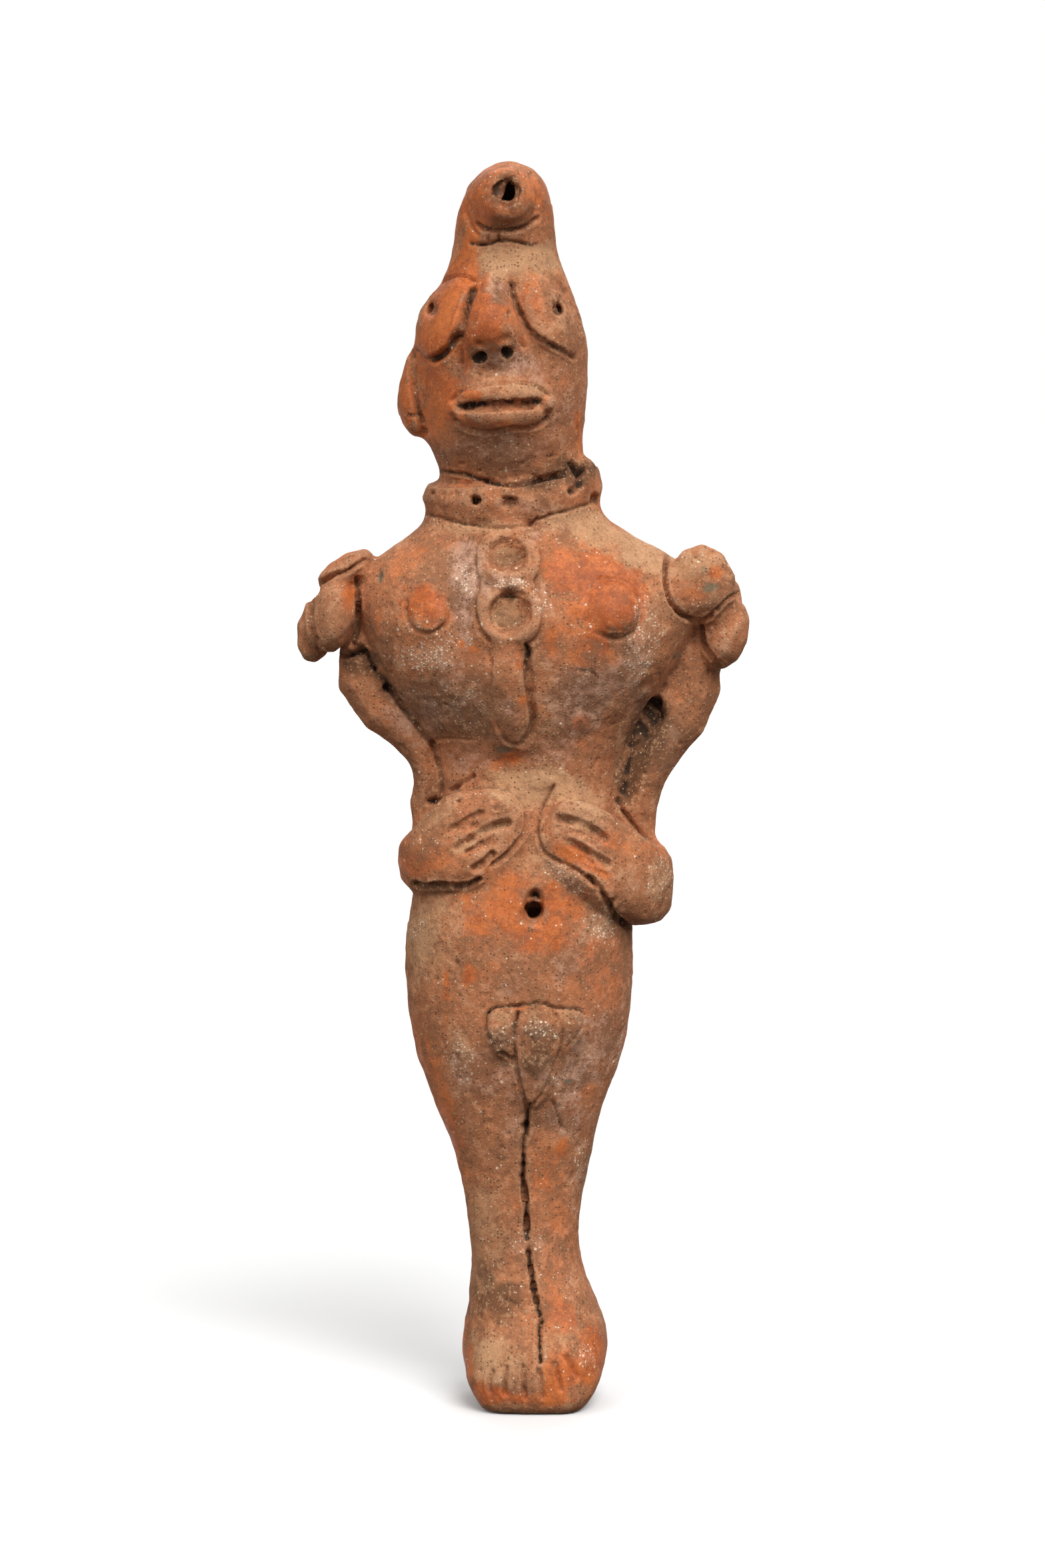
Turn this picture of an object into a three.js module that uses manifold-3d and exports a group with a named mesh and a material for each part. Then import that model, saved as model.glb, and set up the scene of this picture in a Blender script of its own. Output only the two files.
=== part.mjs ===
// A hand-modelled terracotta idol: a standing figure with its hands on its belly, fired as one solid piece.
// The body is a thick column of clay. The limbs, eyes, lips, necklace, shoulder bosses and pubic apron are
// rolls and pellets pressed onto it, and the pupils, nostrils, mouth, navel and fingers were cut with a stick.
// Millimetres, +Z up. The figure faces -Y and its origin is the middle of the underside of its feet.

import * as THREE from "three";
import { mergeVertices } from "three/addons/utils/BufferGeometryUtils.js";
import Module from "manifold-3d";

const wasm = await Module();
wasm.setup();

// Driving dimensions, in millimetres.
const FIGURE_HEIGHT = 200;
const COLLAR_BAND_HEIGHT = 6.4;
const COLLAR_BAND_THICKNESS = 2.6;
const TOPKNOT_DIAMETER = 10.8;
const TOPKNOT_RISE = 3.6;
const TOPKNOT_HOLE_DIAMETER = 5.4;
const PUPIL_DIAMETER = 2.3;
const NOSTRIL_DIAMETER = 1.7;
const NAVEL_DIAMETER = 3.6;
const MOUTH_SLIT_LENGTH = 13.6;
const MOUTH_SLIT_HEIGHT = 1.1;
const LIP_LENGTH = 16.4;
const MEDALLION_DIAMETER = 12.4;
const MEDALLION_RISE = 1.7;
const MEDALLION_DENT_DIAMETER = 7.2;
const NIPPLE_DIAMETER = 6.8;
const FINGER_GROOVE_WIDTH = 1.1;
const TOE_GROOVE_WIDTH = 1.4;
const LEG_GROOVE_WIDTH = 0.9;
const LEG_GROOVE_DEPTH = 1.8;
const AWL_DIAMETER = 1.6; // the pointed stick that made the small pricked holes

// Every pellet is pressed this far into the clay that it sits on.
const PRESSED_IN = 0.5;

// The body's proportions are shares of its height: one unit here is a hundredth of it.
const HUNDREDTH = FIGURE_HEIGHT / 100;
const share = (value) => value * HUNDREDTH;

// Cross-sections from the soles to the top of the neck. left and right are the reaches towards -X and +X,
// front and back those towards -Y and +Y, and square is the superellipse exponent: 2 is an ellipse.
const TRUNK_SECTIONS = [
  { height: 0, left: 4.4, right: 3.9, front: 6.6, back: 4.7, square: 4.6 },
  { height: 0.6, left: 4.95, right: 4.5, front: 7.1, back: 5.2, square: 4.2 },
  { height: 1.8, left: 5.6, right: 5.25, front: 7.4, back: 5.4, square: 3.7 },
  { height: 3.6, left: 6, right: 5.75, front: 7.4, back: 5.5, square: 3.2 },
  { height: 5.4, left: 5.9, right: 5.9, front: 6.9, back: 5.3, square: 2.8 },
  { height: 7.6, left: 5.5, right: 5.15, front: 5.7, back: 4.7, square: 2.5 },
  { height: 10.4, left: 5.3, right: 3.95, front: 4.6, back: 4.2, square: 2.5 },
  { height: 13.6, left: 5.4, right: 3.45, front: 4.2, back: 4, square: 2.5 },
  { height: 17.4, left: 5.9, right: 3.95, front: 4.4, back: 4.3, square: 2.5 },
  { height: 20.6, left: 6.7, right: 4.6, front: 4.9, back: 4.8, square: 2.4 },
  { height: 23.8, left: 8.15, right: 5.4, front: 5.5, back: 5.7, square: 2.3 },
  { height: 28, left: 9.6, right: 6.95, front: 6.4, back: 7.2, square: 2.2 },
  { height: 32.5, left: 10.45, right: 7.8, front: 7.1, back: 8.1, square: 2.2 },
  { height: 36.6, left: 10.65, right: 7.95, front: 7.3, back: 8, square: 2.2 },
  { height: 40, left: 10.3, right: 7.7, front: 7.1, back: 7.1, square: 2.2 },
  { height: 42.6, left: 9.3, right: 7.3, front: 6.6, back: 6.2, square: 2.2 },
  { height: 45.4, left: 8.2, right: 6.9, front: 5.9, back: 5.4, square: 2.3 },
  { height: 49, left: 7.5, right: 6.4, front: 5.1, back: 4.8, square: 2.4 },
  { height: 52.2, left: 7.7, right: 6.65, front: 5.1, back: 4.9, square: 2.4 },
  { height: 54.2, left: 8.8, right: 7.7, front: 5.8, back: 5, square: 2.4 },
  { height: 56.6, left: 10.5, right: 9.2, front: 6.8, back: 5.2, square: 2.4 },
  { height: 59.6, left: 12.5, right: 11.3, front: 7.6, back: 5.2, square: 2.4 },
  { height: 62.6, left: 13.9, right: 12.9, front: 7.9, back: 5.1, square: 2.4 },
  { height: 65.2, left: 14.3, right: 13.4, front: 7.5, back: 4.9, square: 2.4 },
  { height: 67.4, left: 13.7, right: 12.4, front: 6.6, back: 4.6, square: 2.3 },
  { height: 69, left: 12, right: 10.2, front: 5.6, back: 4.3, square: 2.2 },
  { height: 70.6, left: 9.9, right: 7.2, front: 4.9, back: 4.3, square: 2.1 },
  { height: 72.4, left: 8.2, right: 4.8, front: 4.4, back: 4.1, square: 2 },
  { height: 76, left: 7.4, right: 3.4, front: 4, back: 3.8, square: 2 },
];

// Cross-sections of the head, from inside the neck to the crown of the tall topknot.
const HEAD_SECTIONS = [
  { height: 73.5, left: 6.8, right: 2.8, front: 3.4, back: 3.4, square: 2 },
  { height: 75.2, left: 7.6, right: 3.65, front: 4.9, back: 4.3, square: 2 },
  { height: 77, left: 8.5, right: 3.7, front: 5.8, back: 5.2, square: 2.1 },
  { height: 79, left: 9.1, right: 3.9, front: 6.4, back: 5.8, square: 2.2 },
  { height: 81.5, left: 9.5, right: 4.2, front: 6.7, back: 6.2, square: 2.2 },
  { height: 84, left: 9.7, right: 4.35, front: 6.6, back: 6.3, square: 2.2 },
  { height: 86, left: 9.2, right: 4.05, front: 6.3, back: 6.1, square: 2.2 },
  { height: 88, left: 8.4, right: 3.45, front: 5.8, back: 5.6, square: 2.1 },
  { height: 90, left: 7.6, right: 2.75, front: 5.2, back: 4.9, square: 2.1 },
  { height: 92, left: 7, right: 2, front: 4.6, back: 4.1, square: 2 },
  { height: 93.4, left: 6.65, right: 1.6, front: 4.35, back: 3.6, square: 2 },
  { height: 94.3, left: 6.5, right: 1.55, front: 4.8, back: 3.3, square: 2 },
  { height: 96, left: 6.25, right: 1.5, front: 4.8, back: 2.9, square: 2 },
  { height: 97.8, left: 5.65, right: 1, front: 4.2, back: 2.5, square: 2 },
  { height: 99, left: 4.6, right: 0.25, front: 3.4, back: 1.9, square: 2 },
  { height: 99.7, left: 3.5, right: -0.75, front: 2.2, back: 1, square: 2 },
  { height: 100, left: 2.6, right: -1.7, front: 1, back: 0.2, square: 2 },
];

// A closed solid whose cross-sections follow a list of sections, with a smooth curve between them.
class Loft {
  constructor(sections) {
    this.last = sections.length - 1;
    const curveOf = (a, b, c) =>
      new THREE.CatmullRomCurve3(sections.map((s) => new THREE.Vector3(s[a], s[b], s[c])));
    this.sides = curveOf("height", "left", "right");
    this.depths = curveOf("front", "back", "square");
  }

  // The section at a place along the loft, from 0 at its first section to 1 at its last, in millimetres.
  sectionAt(t) {
    const sides = this.sides.getPoint(t);
    const depths = this.depths.getPoint(t);
    return {
      z: share(sides.x),
      middle: share((sides.z - sides.y) / 2),
      half: share((sides.z + sides.y) / 2),
      front: share(depths.x),
      back: share(depths.y),
      square: depths.z,
    };
  }

  // The section at a height in millimetres.
  sectionAtHeight(z) {
    let low = 0;
    let high = 1;
    for (let i = 0; i < 40; i += 1) {
      const t = (low + high) / 2;
      if (share(this.sides.getPoint(t).x) < z) low = t;
      else high = t;
    }
    return this.sectionAt(low);
  }

  // How far the surface stands forward of the axis at x and z, or backward of it on the back.
  depthAt(x, z, side = "front") {
    const s = this.sectionAtHeight(z);
    const across = Math.min(Math.abs(x - s.middle) / s.half, 0.995);
    const reach = s[side] * (1 - across ** s.square) ** (1 / s.square);
    return side === "front" ? -reach : reach;
  }

  geometry(around, rings) {
    const made = new THREE.CylinderGeometry(1, 1, 1, around, rings);
    const p = made.getAttribute("position");
    for (let i = 0; i < p.count; i += 1) {
      const s = this.sectionAt(p.getY(i) + 0.5);
      const reach = Math.hypot(p.getX(i), p.getZ(i));
      const angle = Math.atan2(p.getZ(i), p.getX(i));
      const x = signedPower(Math.cos(angle), 2 / s.square) * s.half * reach;
      const y = signedPower(Math.sin(angle), 2 / s.square) * reach;
      p.setXYZ(i, s.middle + x, -y * (y > 0 ? s.front : s.back), s.z);
    }
    return made;
  }
}

const trunk = new Loft(TRUNK_SECTIONS);
const head = new Loft(HEAD_SECTIONS);

// A power that keeps the sign, and takes what is only a rounding error for nought.
function signedPower(value, power) {
  return Math.abs(value) < 1e-7 ? 0 : Math.sign(value) * Math.abs(value) ** power;
}

// A closed three.js geometry as a solid that can be joined and cut, with its faces turned outwards.
function solid(geometry) {
  const bare = geometry.clone();
  bare.deleteAttribute("normal");
  bare.deleteAttribute("uv");
  const merged = mergeVertices(bare, 1e-4);
  const made = fromTriangles(merged, Uint32Array.from(merged.index.array));
  if (made.volume() > 0) return made;
  return fromTriangles(merged, Uint32Array.from(merged.index.array).reverse());
}

function fromTriangles(geometry, triVerts) {
  const vertProperties = geometry.getAttribute("position").array;
  return new wasm.Manifold(new wasm.Mesh({ numProp: 3, vertProperties, triVerts }));
}

// A pellet pressed onto the front of a loft at x and z: its face stands rise proud of the skin and follows
// it, and its back is buried. length runs up the figure, before it is tilted by degrees towards +X. taper
// makes its lower end wider, flat, from 0 to 1, squares the edge of its face, and outline is the
// superellipse exponent of its outline: 2 is an ellipse and 4 nearly a rounded strip.
function pellet(loft, { x, z, width, length, rise, tilt = 0, taper = 0, flat = 0.5, outline = 2, sides = 12, rings = 8 }) {
  const made = new THREE.SphereGeometry(1, sides, rings);
  const p = made.getAttribute("position");
  const turn = THREE.MathUtils.degToRad(tilt);
  for (let i = 0; i < p.count; i += 1) {
    const angle = Math.atan2(p.getY(i), p.getX(i));
    const spread = (Math.abs(Math.cos(angle)) ** outline + Math.abs(Math.sin(angle)) ** outline) ** (-1 / outline);
    const across = p.getX(i) * spread * (width / 2) * (1 - taper * p.getY(i));
    const along = p.getY(i) * spread * (length / 2);
    const px = x + across * Math.cos(turn) + along * Math.sin(turn);
    const pz = z + along * Math.cos(turn) - across * Math.sin(turn);
    const proud = signedPower(p.getZ(i), 1 - flat) * (p.getZ(i) > 0 ? rise + PRESSED_IN : 2);
    p.setXYZ(i, px, loft.depthAt(px, pz) + PRESSED_IN - proud, pz);
  }
  return solid(made);
}

// A roll of clay along a list of stops. Each stop has its place, its half width across the roll in the
// plane of the skin, and its half thickness towards out, the direction away from the body. A blunt of 2
// rounds its ends, and more squares them, and square does the same for its cross-section.
function roll(stops, { sides = 10, rings = 10, blunt = 2.6, square = 2 } = {}) {
  const curve = (read) => new THREE.CatmullRomCurve3(stops.map(read));
  const places = curve((s) => new THREE.Vector3(...s.at));
  const outs = curve((s) => new THREE.Vector3(...s.out));
  const sizes = curve((s) => new THREE.Vector3(s.wide, s.thick, 0));
  const made = new THREE.SphereGeometry(1, sides, rings);
  const p = made.getAttribute("position");
  for (let i = 0; i < p.count; i += 1) {
    const t = Math.acos(THREE.MathUtils.clamp(p.getY(i), -1, 1)) / Math.PI;
    const place = places.getPoint(t);
    const along = places.getTangent(t);
    const across = outs.getPoint(t).cross(along).normalize();
    const out = along.clone().cross(across).normalize();
    const size = sizes.getPoint(t);
    const angle = Math.atan2(p.getX(i), p.getZ(i));
    const reach = (1 - Math.abs(2 * t - 1) ** blunt) ** (1 / blunt);
    place.addScaledVector(across, signedPower(Math.sin(angle), 2 / square) * size.x * reach);
    place.addScaledVector(out, signedPower(Math.cos(angle), 2 / square) * size.y * reach);
    p.setXYZ(i, place.x, place.y, place.z);
  }
  return solid(made);
}

// A squashed ball of clay anywhere, or the dent that a round tool leaves.
function ball({ at, radii, turn = [0, 0, 0], sides = 10, rings = 6 }) {
  const made = new THREE.SphereGeometry(1, sides, rings);
  const turned = new THREE.Euler(...turn.map(THREE.MathUtils.degToRad));
  made.applyMatrix4(
    new THREE.Matrix4().compose(
      new THREE.Vector3(...at),
      new THREE.Quaternion().setFromEuler(turned),
      new THREE.Vector3(...radii),
    ),
  );
  return solid(made);
}

// A dent pressed into the front of a loft at x and z.
function dent(loft, { x, z, width, length, depth, tilt = 0, sides = 12, rings = 7 }) {
  const at = [x, loft.depthAt(x, z), z];
  return ball({ at, radii: [width / 2, depth, length / 2], turn: [0, tilt, 0], sides, rings });
}

// A groove drawn with a stick along points on the front or back of a loft: a wide at its mouth, b deep.
function groove(loft, points, width, depth, { side = "front", rings = 12 } = {}) {
  const outward = side === "front" ? -1 : 1;
  const stops = points.map(([x, z]) => ({
    at: [x, loft.depthAt(x, z, side), z],
    out: [0, outward, 0],
    wide: width / 2,
    thick: depth,
  }));
  return roll(stops, { sides: 6, rings, blunt: 3 });
}

// The collar: a flat band round the neck that droops in front and stands higher on the figure's left.
function collar() {
  const HEIGHT = share(73.6);
  const DROOP = share(0.6);
  const SLANT = share(0.45);
  const RING = 10;
  const neck = trunk.sectionAtHeight(HEIGHT);
  const made = new THREE.TorusGeometry(RING, 1, 6, 26);
  const p = made.getAttribute("position");
  for (let i = 0; i < p.count; i += 1) {
    const angle = Math.atan2(p.getY(i), p.getX(i));
    const outward = Math.hypot(p.getX(i), p.getY(i)) - RING;
    const offset = signedPower(outward, 0.6) * COLLAR_BAND_THICKNESS;
    const depth = Math.sin(angle) < 0 ? neck.front : neck.back;
    const x = neck.middle + Math.cos(angle) * (neck.half + offset);
    const y = Math.sin(angle) * (depth + offset);
    const rise = Math.sin(angle) * DROOP + Math.cos(angle) * SLANT;
    const band = signedPower(p.getZ(i), 0.7) * (COLLAR_BAND_HEIGHT / 2);
    p.setXYZ(i, x, y, HEIGHT + rise + band * (1 + 0.15 * Math.cos(angle)));
  }
  return solid(made);
}

// The rough lump of broken clay where the collar meets the figure's left jaw.
function collarLump() {
  const at = [share(3.6), share(-1.2), share(75)];
  return ball({ at, radii: [share(1.25), share(2), share(1.6)], turn: [0, 20, 0], sides: 10, rings: 6 });
}

// The round button on the front of the topknot, the low roll under it, and the deep hole in it.
const TOPKNOT_AT = { x: share(-2.35), z: share(97) };

function topknot() {
  const button = pellet(head, {
    ...TOPKNOT_AT,
    width: TOPKNOT_DIAMETER,
    length: TOPKNOT_DIAMETER * 0.92,
    rise: TOPKNOT_RISE,
    flat: 0.35,
    sides: 18,
  });
  const underRoll = pellet(head, {
    x: TOPKNOT_AT.x,
    z: TOPKNOT_AT.z - TOPKNOT_DIAMETER * 0.6,
    width: TOPKNOT_DIAMETER * 0.95,
    length: TOPKNOT_DIAMETER * 0.4,
    rise: TOPKNOT_RISE * 0.28,
    flat: 0.3,
  });
  return [button, underRoll];
}

function topknotHole() {
  const face = head.depthAt(TOPKNOT_AT.x, TOPKNOT_AT.z) - TOPKNOT_RISE;
  const bowl = ball({
    at: [TOPKNOT_AT.x - 0.3, face, TOPKNOT_AT.z + TOPKNOT_DIAMETER * 0.1],
    radii: [TOPKNOT_HOLE_DIAMETER * 0.5, TOPKNOT_HOLE_DIAMETER * 0.45, TOPKNOT_HOLE_DIAMETER * 0.5],
    turn: [-14, 14, 0],
  });
  const shaft = ball({
    at: [TOPKNOT_AT.x + 0.6, face + TOPKNOT_RISE * 0.6, TOPKNOT_AT.z + TOPKNOT_DIAMETER * 0.06],
    radii: [TOPKNOT_HOLE_DIAMETER * 0.17, TOPKNOT_HOLE_DIAMETER * 0.9, TOPKNOT_HOLE_DIAMETER * 0.32],
    sides: 8,
    rings: 6,
  });
  return bowl.add(shaft);
}

// The eyes: two drooping drops of clay, wider below, each pricked with a pupil.
const EYES = [
  {
    at: { x: share(-7.35), z: share(87.5), width: share(3.9), length: share(7.6), tilt: 25 },
    pupil: { x: share(-8.25), z: share(88.2), facing: -48 },
  },
  {
    at: { x: share(1.2), z: share(87.5), width: share(4.2), length: share(7), tilt: -30 },
    pupil: { x: share(1.8), z: share(88.4), facing: 35 },
  },
];

function eye({ at }) {
  return pellet(head, { ...at, rise: share(1.15), taper: 0.12, flat: 0.4 });
}

function pupil({ pupil: { x, z, facing } }) {
  const at = [x, head.depthAt(x, z) - share(0.6), z];
  const radii = [PUPIL_DIAMETER * 0.46, share(0.9), PUPIL_DIAMETER * 0.56];
  return ball({ at, radii, turn: [0, 0, facing], sides: 8, rings: 6 });
}

// The nose: a wedge that is narrow at the brow and widest at the tip, with an underside that slopes back.
const NOSE = { x: share(-3.6), width: share(4.8), rise: share(2.6) };

function nose() {
  const stop = (height, wide, proud) => {
    const z = share(height);
    const deep = share(2);
    const face = head.depthAt(NOSE.x, z) - proud;
    const at = [NOSE.x, face + (proud + deep) / 2, z];
    return { at, out: [0, -1, 0], wide: wide / 2, thick: (proud + deep) / 2 };
  };
  const stops = [
    stop(91.6, NOSE.width * 0.3, NOSE.rise * 0.12),
    stop(89.8, NOSE.width * 0.45, NOSE.rise * 0.42),
    stop(88.2, NOSE.width * 0.68, NOSE.rise * 0.78),
    stop(87, NOSE.width * 0.92, NOSE.rise),
    stop(86.2, NOSE.width * 1.06, NOSE.rise * 0.88),
    stop(85.3, NOSE.width * 1.06, NOSE.rise * 0.6),
    stop(84.4, NOSE.width * 0.92, NOSE.rise * 0.32),
    stop(83.8, NOSE.width * 0.66, NOSE.rise * 0.12),
  ];
  return roll(stops, { sides: 12, rings: 12, blunt: 5, square: 1.8 });
}

function nostrils() {
  const places = [
    [NOSE.x - NOSE.width * 0.17, share(85.2)],
    [NOSE.x + NOSE.width * 0.26, share(85.6)],
  ];
  return places.map(([x, z]) => {
    const at = [x, head.depthAt(x, z) - NOSE.rise * 0.62, z];
    const radii = [NOSTRIL_DIAMETER * 0.55, share(0.9), NOSTRIL_DIAMETER * 0.42];
    return ball({ at, radii, turn: [35, 0, 0], sides: 8, rings: 6 });
  });
}

// The mouth: two thick lips pressed onto one pad that joins them at the corners, with a slit between them.
const MOUTH = { x: share(-2.9), z: share(80.6), lip: share(2.3), rise: share(1.2) };

function lips() {
  const lip = (side, width, length, rise) =>
    pellet(head, { x: MOUTH.x, z: MOUTH.z + side * MOUTH.lip, width, length, rise, tilt: -1, flat: 0.45 });
  const pad = lip(0, LIP_LENGTH, MOUTH.lip * 1.3, MOUTH.rise * 0.8);
  const upper = lip(0.34, LIP_LENGTH * 0.94, MOUTH.lip * 1.05, MOUTH.rise * 0.85);
  const lower = lip(-0.33, LIP_LENGTH * 0.98, MOUTH.lip * 1.15, MOUTH.rise);
  return pad.add(upper).add(lower);
}

function mouthSlit() {
  const end = MOUTH_SLIT_LENGTH / 2;
  const stops = [-1, -0.4, 0.4, 1].map((step) => {
    const x = MOUTH.x + step * end;
    const z = MOUTH.z + step * share(0.1);
    return {
      at: [x, head.depthAt(x, z) - MOUTH.rise * 0.6, z],
      out: [0, -1, 0],
      wide: MOUTH_SLIT_HEIGHT / 2,
      thick: share(0.9),
    };
  });
  return roll(stops, { sides: 6, rings: 8, blunt: 6 });
}

// The figure's right ear: a long flap down the side of the head. The left one has broken off to a stub.
function ears() {
  const stop = (x, z, wide, thick) => ({
    at: [share(x), share(-0.5), share(z)],
    out: [-1, -0.3, 0],
    wide: share(wide),
    thick: share(thick),
  });
  const flap = roll([
    stop(-9, 86.2, 1, 0.7),
    stop(-9.7, 83.8, 1.5, 0.9),
    stop(-10.15, 81, 1.9, 1),
    stop(-9.6, 79.2, 1.8, 1.1),
    stop(-8.9, 77.8, 1.4, 0.9),
  ]);
  const at = [share(3.4), share(-0.6), share(78.2)];
  const stub = ball({ at, radii: [share(0.5), share(1.1), share(1.1)], sides: 8, rings: 6 });
  return [flap, stub];
}

// Each arm hangs from the shoulder, comes in to the waist and lies against it down to the elbow.
function arms() {
  const stop = (x, y, z, wide, thick) => ({
    at: [share(x), share(y), share(z)],
    out: [Math.sign(x) * 0.35, -1, 0],
    wide: share(wide),
    thick: share(thick),
  });
  const right = roll([
    stop(-12.4, 0.3, 67.4, 2.5, 2.8),
    stop(-13.5, 0.3, 61.4, 2.9, 2.8),
    stop(-13.2, 0.2, 57.7, 2.7, 2.6),
    stop(-10.3, 0, 54.8, 2, 2.3),
    stop(-8.2, -0.3, 51.8, 1.9, 2.1),
    stop(-8.1, -0.5, 47.7, 2.6, 2.1),
    stop(-8.4, -0.6, 43.2, 2.8, 2.1),
  ]);
  const left = roll([
    stop(11.6, 0.3, 67.4, 2.5, 2.8),
    stop(12.1, 0.3, 61.4, 3, 2.8),
    stop(12.1, 0.2, 57.2, 2.9, 2.6),
    stop(9.9, 0, 53.8, 2.6, 2.4),
    stop(8, -0.2, 50.4, 2.6, 2.1),
    stop(7.6, -0.4, 47, 2.7, 2),
    stop(8.5, -0.5, 42, 2.9, 2.1),
  ]);
  return [right, left];
}

// Each forearm and hand is one flattened roll from the elbow across the belly, with square finger tips.
const HAND_FACE = share(-7.1);

function hands() {
  const stop = (x, y, z, out, wide, thick) => ({
    at: [share(x), share(y), share(z)],
    out,
    wide: share(wide),
    thick: share(thick),
  });
  const flat = (x, z, wide, thick) => stop(x, HAND_FACE / HUNDREDTH + thick, z, [0, -1, 0], wide, thick);
  const right = roll(
    [
      stop(-9, 1.2, 43.9, [-1, -0.1, 0], 2.2, 2.1),
      stop(-9.2, -1, 43.9, [-1, -0.5, 0], 2.5, 2.1),
      stop(-8.1, -3.9, 44.7, [-0.8, -1, 0], 3, 1.9),
      stop(-5.6, -5.2, 46.1, [-0.35, -1, 0], 4, 1.7),
      flat(-2.9, 47.3, 3.4, 1.5),
      flat(-0.5, 48, 2.4, 1.2),
    ],
    { sides: 12, rings: 12, blunt: 3.4, square: 2.6 },
  );
  const left = roll(
    [
      stop(8.6, 1.4, 42.3, [1, -0.1, 0], 3, 2.5),
      stop(8.9, -1, 42.3, [1, -0.5, 0], 3.7, 2.5),
      stop(7.5, -3.7, 43, [0.8, -1, 0], 3.5, 2.2),
      stop(4.9, -5.2, 44.9, [0.35, -1, 0], 3.5, 1.7),
      flat(2.2, 46.8, 3.3, 1.5),
      flat(0.2, 47.9, 2.5, 1.2),
    ],
    { sides: 12, rings: 12, blunt: 3.4, square: 2.6 },
  );
  return [right, left];
}

// The gaps between the fingers, as strokes from the palm towards the finger tips.
const FINGER_STROKES = [
  { from: [-6.8, 46.9], to: [-3.8, 47.8] },
  { from: [-6.6, 44.8], to: [-2.4, 46.9] },
  { from: [-4.9, 43.3], to: [-3.5, 44] },
  { from: [1.8, 47.5], to: [5.6, 46.1] },
  { from: [2.8, 45.4], to: [5.7, 43.7] },
];

function fingerGrooves() {
  return FINGER_STROKES.map(({ from, to }) => {
    const stops = [from, to].map(([x, z]) => ({
      at: [share(x), HAND_FACE + share(Math.abs(x + 0.5) ** 3 / 380), share(z)],
      out: [0, -1, 0],
      wide: FINGER_GROOVE_WIDTH / 2,
      thick: FINGER_GROOVE_WIDTH * 1.1,
    }));
    return roll(stops, { sides: 6, rings: 5, blunt: 3 });
  });
}

// Two ringed medallions and a tongue hang down the chest under the collar.
const MEDALLIONS = [
  { x: share(-2.15), z: share(68.6), across: 0.9, tall: 0.76 },
  { x: share(-2.2), z: share(64.25), across: 1, tall: 0.98 },
];

function necklace() {
  const discs = MEDALLIONS.map(({ x, z }) =>
    pellet(trunk, { x, z, width: MEDALLION_DIAMETER, length: MEDALLION_DIAMETER * 0.95, rise: MEDALLION_RISE, flat: 0.6 }),
  );
  const tongue = pellet(trunk, {
    x: share(-2.2),
    z: share(57.2),
    width: share(3.3),
    length: share(8.6),
    rise: share(1),
    tilt: -3,
    taper: -0.06,
    flat: 0.55,
    outline: 3.4,
  });
  return [...discs, tongue];
}

function medallionDents() {
  return MEDALLIONS.map(({ x, z, across, tall }) => {
    const at = [x, trunk.depthAt(x, z) - MEDALLION_RISE, z];
    const [wide, high] = [across, tall].map((ratio) => (MEDALLION_DENT_DIAMETER * ratio) / 2);
    return ball({ at, radii: [wide, MEDALLION_RISE * 1.1, high], sides: 10, rings: 6 });
  });
}

function nipples() {
  const right = { x: share(-8.6), z: share(64.1), rise: share(0.65) };
  const left = { x: share(6.4), z: share(64.3), rise: share(0.5) };
  return [right, left].map((n) =>
    pellet(trunk, { ...n, width: NIPPLE_DIAMETER, length: NIPPLE_DIAMETER * 1.05, flat: 0.5, sides: 12, rings: 6 }),
  );
}

// The bosses on the shoulders: three overlapping pellets pressed onto a lump of clay on each side.
function bosses() {
  const boss = (at, radii, turn) => ball({ at: at.map(share), radii: radii.map(share), turn });
  return [
    boss([-14.9, 0, 65], [1.9, 2.2, 3.2], [0, 15, 0]),
    boss([-15.2, -0.8, 67.4], [2.7, 2.3, 1.3], [0, -32, 0]),
    boss([-16.2, -2.3, 63.7], [1.95, 2.4, 3.05], [0, 10, 12]),
    boss([-17.6, 0, 62.7], [1.75, 2, 3], [0, 12, 0]),
    boss([13.7, -0.4, 64], [1.9, 2.2, 3.6], [0, 0, 0]),
    boss([13.2, -3, 66.3], [2.95, 2.1, 3.35], [0, -16, -12]),
    boss([15.25, -1.7, 62.3], [1.85, 2.3, 3.1], [0, 18, -10]),
    boss([14.6, 0.2, 65.4], [2, 2.4, 3.1], [0, -24, 0]),
  ];
}

// The apron at the fork: a tapered tongue between two small pads.
function apron() {
  const tongue = pellet(trunk, {
    x: share(-0.1),
    z: share(28.2),
    width: share(3.3),
    length: share(8),
    rise: share(1),
    tilt: 4,
    taper: -0.35,
    flat: 0.5,
    outline: 2.4,
  });
  const pads = [
    { x: share(-2.9), z: share(30.1), width: share(2.5), length: share(3.7), tilt: -10 },
    { x: share(2.8), z: share(30.5), width: share(2.4), length: share(3.2), tilt: 12 },
  ];
  const shape = { rise: share(0.55), taper: -0.2, flat: 0.45, sides: 10, rings: 6 };
  return [tongue, ...pads.map((place) => pellet(trunk, { ...place, ...shape }))];
}

// The line between the legs, drawn down the front and plainer down the back.
function legGrooves() {
  const shares = (points) => points.map(([x, z]) => [share(x), share(z)]);
  const front = shares([
    [-0.6, 24.6],
    [-1, 19.4],
    [-0.7, 14.5],
    [-0.25, 10.4],
    [0.25, 7.2],
    [0.4, 3.8],
  ]);
  const back = shares([
    [-1.3, 36],
    [-1.2, 28],
    [-1, 18],
    [-0.2, 9],
    [0, 4],
  ]);
  return [
    groove(trunk, front, LEG_GROOVE_WIDTH, LEG_GROOVE_DEPTH, { rings: 10 }),
    groove(trunk, back, LEG_GROOVE_WIDTH * 1.4, LEG_GROOVE_DEPTH * 0.7, { side: "back", rings: 8 }),
  ];
}

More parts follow.
